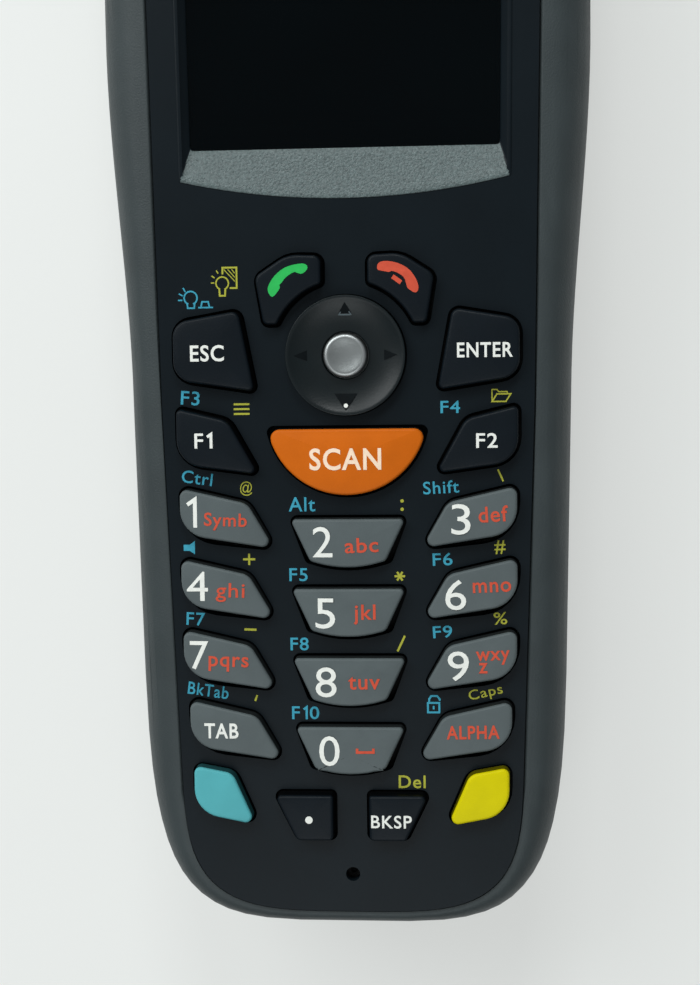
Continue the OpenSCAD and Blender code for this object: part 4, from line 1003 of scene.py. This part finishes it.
@dataclass
class Display:
    """The bezel with its sloping lip, the window and the display module.

    The bezel's section gives share, height over the front panel and shrink for each ring.
    """

    inner_half: float = 17.5
    inner_half_high: float = 18.1
    inner_low: float = 14.8
    inner_high: float = 62.8
    outer_half: float = 19.2
    lip_half: float = 18.55
    lip_low: float = 11.35
    lip_bow: float = 2.1
    lip_steps: int = 24
    lip_flare: float = 0.28
    outer_high: float = 66.0
    section: tuple[Triple, ...] = (
        (0.0, -1.0, 0.0), (1.0, -1.0, 0.0), (1.0, 0.01, 0.0), (1.0, 0.01, -0.13), (1.0, 0.09, -0.13),
        (1.0, 0.14, -0.06), (1.0, 0.15, 0.1), (1.0, 0.11, 0.35), (0.75, -0.15, 0.0), (0.45, -0.47, 0.0),
        (0.15, -0.8, 0.0), (0.02, -0.94, 0.0),
    )

    def ring(self, share: float, z: float, shrink: float) -> Ring:
        """A ring between the window's edge (share 0) and the bezel's outline (share 1).

        Args:
            share: how far out the ring lies.
            z: its height.
            shrink: how far it lies inside that line.

        Returns:
            The ring's points.
        """
        half_low = self.inner_half + (self.lip_half - self.inner_half) * share - shrink
        half_high = self.inner_half_high + (self.outer_half - self.inner_half_high) * share - shrink
        low = self.inner_low + (self.lip_low - self.inner_low) * share + shrink
        high = self.inner_high + (self.outer_high - self.inner_high) * share - shrink
        sag = self.lip_bow * share
        top_r = 0.5 + 2.0 * share
        low_r = 0.55 - 0.25 * share
        upper = [(half_high, high, top_r), (-half_high, high, top_r)]
        points = arc([*upper, (-half_low, low, low_r), (half_low, low, low_r)])
        split = 3 * (CORNER_STEPS + 1)
        left, right = points[:split], points[split:]
        lower: list[Point] = []
        for k in range(1, self.lip_steps):
            way = k / self.lip_steps
            spot = Vector(left[-1]).lerp(Vector(right[0]), way)
            lower.append((spot.x, spot.y - sag * (1 - (2 * way - 1) ** 2)))
        return at([*left, *lower, *right], z)

    def build(self) -> None:
        """Builds the bezel and dresses the window and the module."""
        rings = [self.ring(share, FRONT + height, shrink) for share, height, shrink in self.section]
        bezel = Bench.solid("display_bezel_frame", rings, hoop=True)
        Bench.finished(bezel, "display_bezel", BEZEL, 30.0)
        # The sloping lip takes the grey bezel finish and the rest of the bezel takes the panel black:
        # painted shade, darker on the side walls that face away from the light than on the lit lip.
        bezel.data.materials.append(PANEL.material())
        for face in bezel.data.polygons:
            spot = face.center / MM
            below = self.inner_low - spot.y
            on_lip = below > -0.02 and abs(spot.x) < self.inner_half + below * self.lip_flare
            face.material_index = 0 if on_lip else 1
        Bench.copy_of("display_window", GLASS, 0.1)
        Bench.copy_of("lcd_module", DISPLAY, 0.05)


@dataclass
class Casing:
    """The shells, seal, cover, side keys and screws, each taken from its node and eased."""

    eased: tuple[tuple[str, float, Finish], ...] = (
        ("rear_housing", 0.0, HOUSING),
        ("front_housing", 0.05, PANEL),
        ("battery_cover", 0.12, COVER),
        ("side_key_left", 0.2, SIDE_KEY),
        ("side_key_right", 0.2, SIDE_KEY),
        ("scan_window", 0.1, RED_WINDOW),
        ("housing_screws", 0.05, SCREW),
        ("panel_seal", 0.0, SEAL),
    )

    def build(self) -> None:
        """Makes and dresses every piece of the casing."""
        for node, bevel, finish in self.eased:
            Bench.copy_of(node, finish, bevel)


@dataclass
class Insides:
    """The pieces inside, which keep their nodes' shapes."""

    finishes: tuple[tuple[Finish, str], ...] = (
        (MAT, "keypad_mat"),
        (BOARD, "keypad_board main_board"),
        (STEEL, "memory_card_slot backup_battery radio_shield vibration_motor"),
        (BLACK_PART, "side_switches earpiece scan_engine speaker dock_connector navigation_carrier"),
        (CREAM_PART, "keypad_connector"),
        (SEAL, "microphone"),
        (GUIDE, "indicator_light_guides"),
        (LENS, "scan_lens"),
        (GOLD, "aerial battery_contacts dock_contacts"),
        (BATTERY, "battery_pack"),
    )

    def build(self) -> None:
        """Dresses the nodes."""
        for finish, nodes in self.finishes:
            for node in nodes.split():
                finish.dress(FRAME["nodes"][node])
                LOG.info("dressed %s", node)


@dataclass
class Studio:
    """Floor, lamps, world and camera."""

    floor_size: float = 40.0
    floor_z: float = -0.1
    floor_colour: Triple = (0.85, 0.865, 0.85)
    backdrop_colour: Triple = (0.78, 0.795, 0.775)
    backdrop_share: float = 0.62
    camera_spot: Triple = (16.91, -7.51, 225.62)
    yaw: float = -0.08374
    pitch: float = 0.08257
    roll: float = 0.01364
    focal: float = 1760.0
    picture_width: float = 700.0
    sensor: float = 36.0
    sky_colour: Triple = (0.92, 0.97, 1.0)
    sky_strength: float = 0.3
    lamp_colour: Triple = (0.96, 1.0, 1.0)
    lamps: tuple[tuple[str, Triple, float, float], ...] = (
        ("key_lamp", (-370.0, 330.0, 450.0), 440.0, 2.9),
        ("front_lamp", (-30.0, -260.0, 380.0), 240.0, 0.48),
        ("back_lamp", (20.0, 430.0, 400.0), 160.0, 1.3),
    )

    def build(self) -> None:
        """Makes the whole studio."""
        self.floor()
        for lamp in self.lamps:
            self.lamp(*lamp)
        world = bpy.data.worlds.new("studio_world")
        bpy.context.scene.world = world
        world.use_nodes = True
        sky = world.node_tree.nodes["Background"]
        sky.inputs["Color"].default_value = (*self.sky_colour, 1.0)
        sky.inputs["Strength"].default_value = self.sky_strength
        bpy.context.scene.view_settings.view_transform = "Standard"
        self.camera()

    def floor(self) -> None:
        """Lays the pale floor just under the object. Its size is in metres."""
        Bench.only()
        bpy.ops.mesh.primitive_plane_add(size=self.floor_size, location=(0.0, 0.0, self.floor_z * MM))
        floor = bpy.context.active_object
        floor.name = "studio_floor"
        bpy.ops.object.transform_apply(location=True, rotation=True, scale=True)
        pale = Finish("floor_pale", self.floor_colour, 0.75, 0.015, 60.0, 0.02, 1.5, 0.03, specular=0.2)
        pale.dress(floor)
        self.even_out(pale.material())

    def even_out(self, material: bpy.types.Material) -> None:
        """Mixes the floor's shade, where it is seen, with a plain colour, so that it looks evenly pale.

        Args:
            material: the floor's material.
        """
        nodes, links = material.node_tree.nodes, material.node_tree.links
        path = nodes.new("ShaderNodeLightPath")
        share: bpy.types.NodeSocket = path.outputs["Is Camera Ray"]
        for word in ("Is Glossy Ray", "Is Transmission Ray"):
            either = nodes.new("ShaderNodeMath")
            either.operation = "MAXIMUM"
            links.new(share, either.inputs[0])
            links.new(path.outputs[word], either.inputs[1])
            share = either.outputs["Value"]
        part = nodes.new("ShaderNodeMath")
        part.operation = "MULTIPLY"
        part.inputs[1].default_value = self.backdrop_share
        links.new(share, part.inputs[0])
        plain = nodes.new("ShaderNodeEmission")
        plain.inputs["Color"].default_value = (*self.backdrop_colour, 1.0)
        mix = nodes.new("ShaderNodeMixShader")
        links.new(part.outputs["Value"], mix.inputs["Fac"])
        links.new(nodes["Principled BSDF"].outputs["BSDF"], mix.inputs[1])
        links.new(plain.outputs["Emission"], mix.inputs[2])
        links.new(mix.outputs["Shader"], nodes["Material Output"].inputs["Surface"])

    def lamp(self, name: str, spot: Triple, size: float, power: float) -> None:
        """Adds a soft square lamp that faces the object.

        Args:
            name: the lamp's name.
            spot: its place in millimetres.
            size: its side in millimetres.
            power: its power in watts.
        """
        data = bpy.data.lights.new(name, "AREA")
        data.size = size * MM
        data.energy = power
        data.color = self.lamp_colour
        lamp = bpy.data.objects.new(name, data)
        bpy.context.scene.collection.objects.link(lamp)
        lamp.location = Vector(spot) * MM
        lamp.rotation_euler = (-lamp.location).to_track_quat("-Z", "Y").to_euler()

    def camera(self) -> None:
        """Places the camera at the photograph's angle and framing."""
        data = bpy.data.cameras.new("camera")
        camera = bpy.data.objects.new("camera", data)
        bpy.context.scene.collection.objects.link(camera)
        data.sensor_fit = "HORIZONTAL"
        data.sensor_width = self.sensor
        data.lens = self.focal * self.sensor / self.picture_width
        data.clip_start = 0.01
        data.clip_end = 100.0
        across = Matrix.Rotation(self.pitch, 3, "X") @ Matrix.Rotation(self.yaw, 3, "Y")
        facing = (Matrix.Rotation(self.roll, 3, "Z") @ across).transposed()
        camera.matrix_world = Matrix.Translation(Vector(self.camera_spot) * MM) @ facing.to_4x4()
        bpy.context.scene.camera = camera


def main() -> None:
    """Builds every sub-assembly round the frame."""
    logging.basicConfig(level=logging.INFO, format="%(message)s")
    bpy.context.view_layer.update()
    Studio().build()
    Casing().build()
    Display().build()
    Keypad().build()
    PanelPrint().build()
    Navigation().build()
    Insides().build()


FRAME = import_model()
BODY_OF = {node: body for body, nodes in FRAME["record"]["behaviour"]["bodies"].items() for node in nodes}

if __name__ == "__main__":
    main()
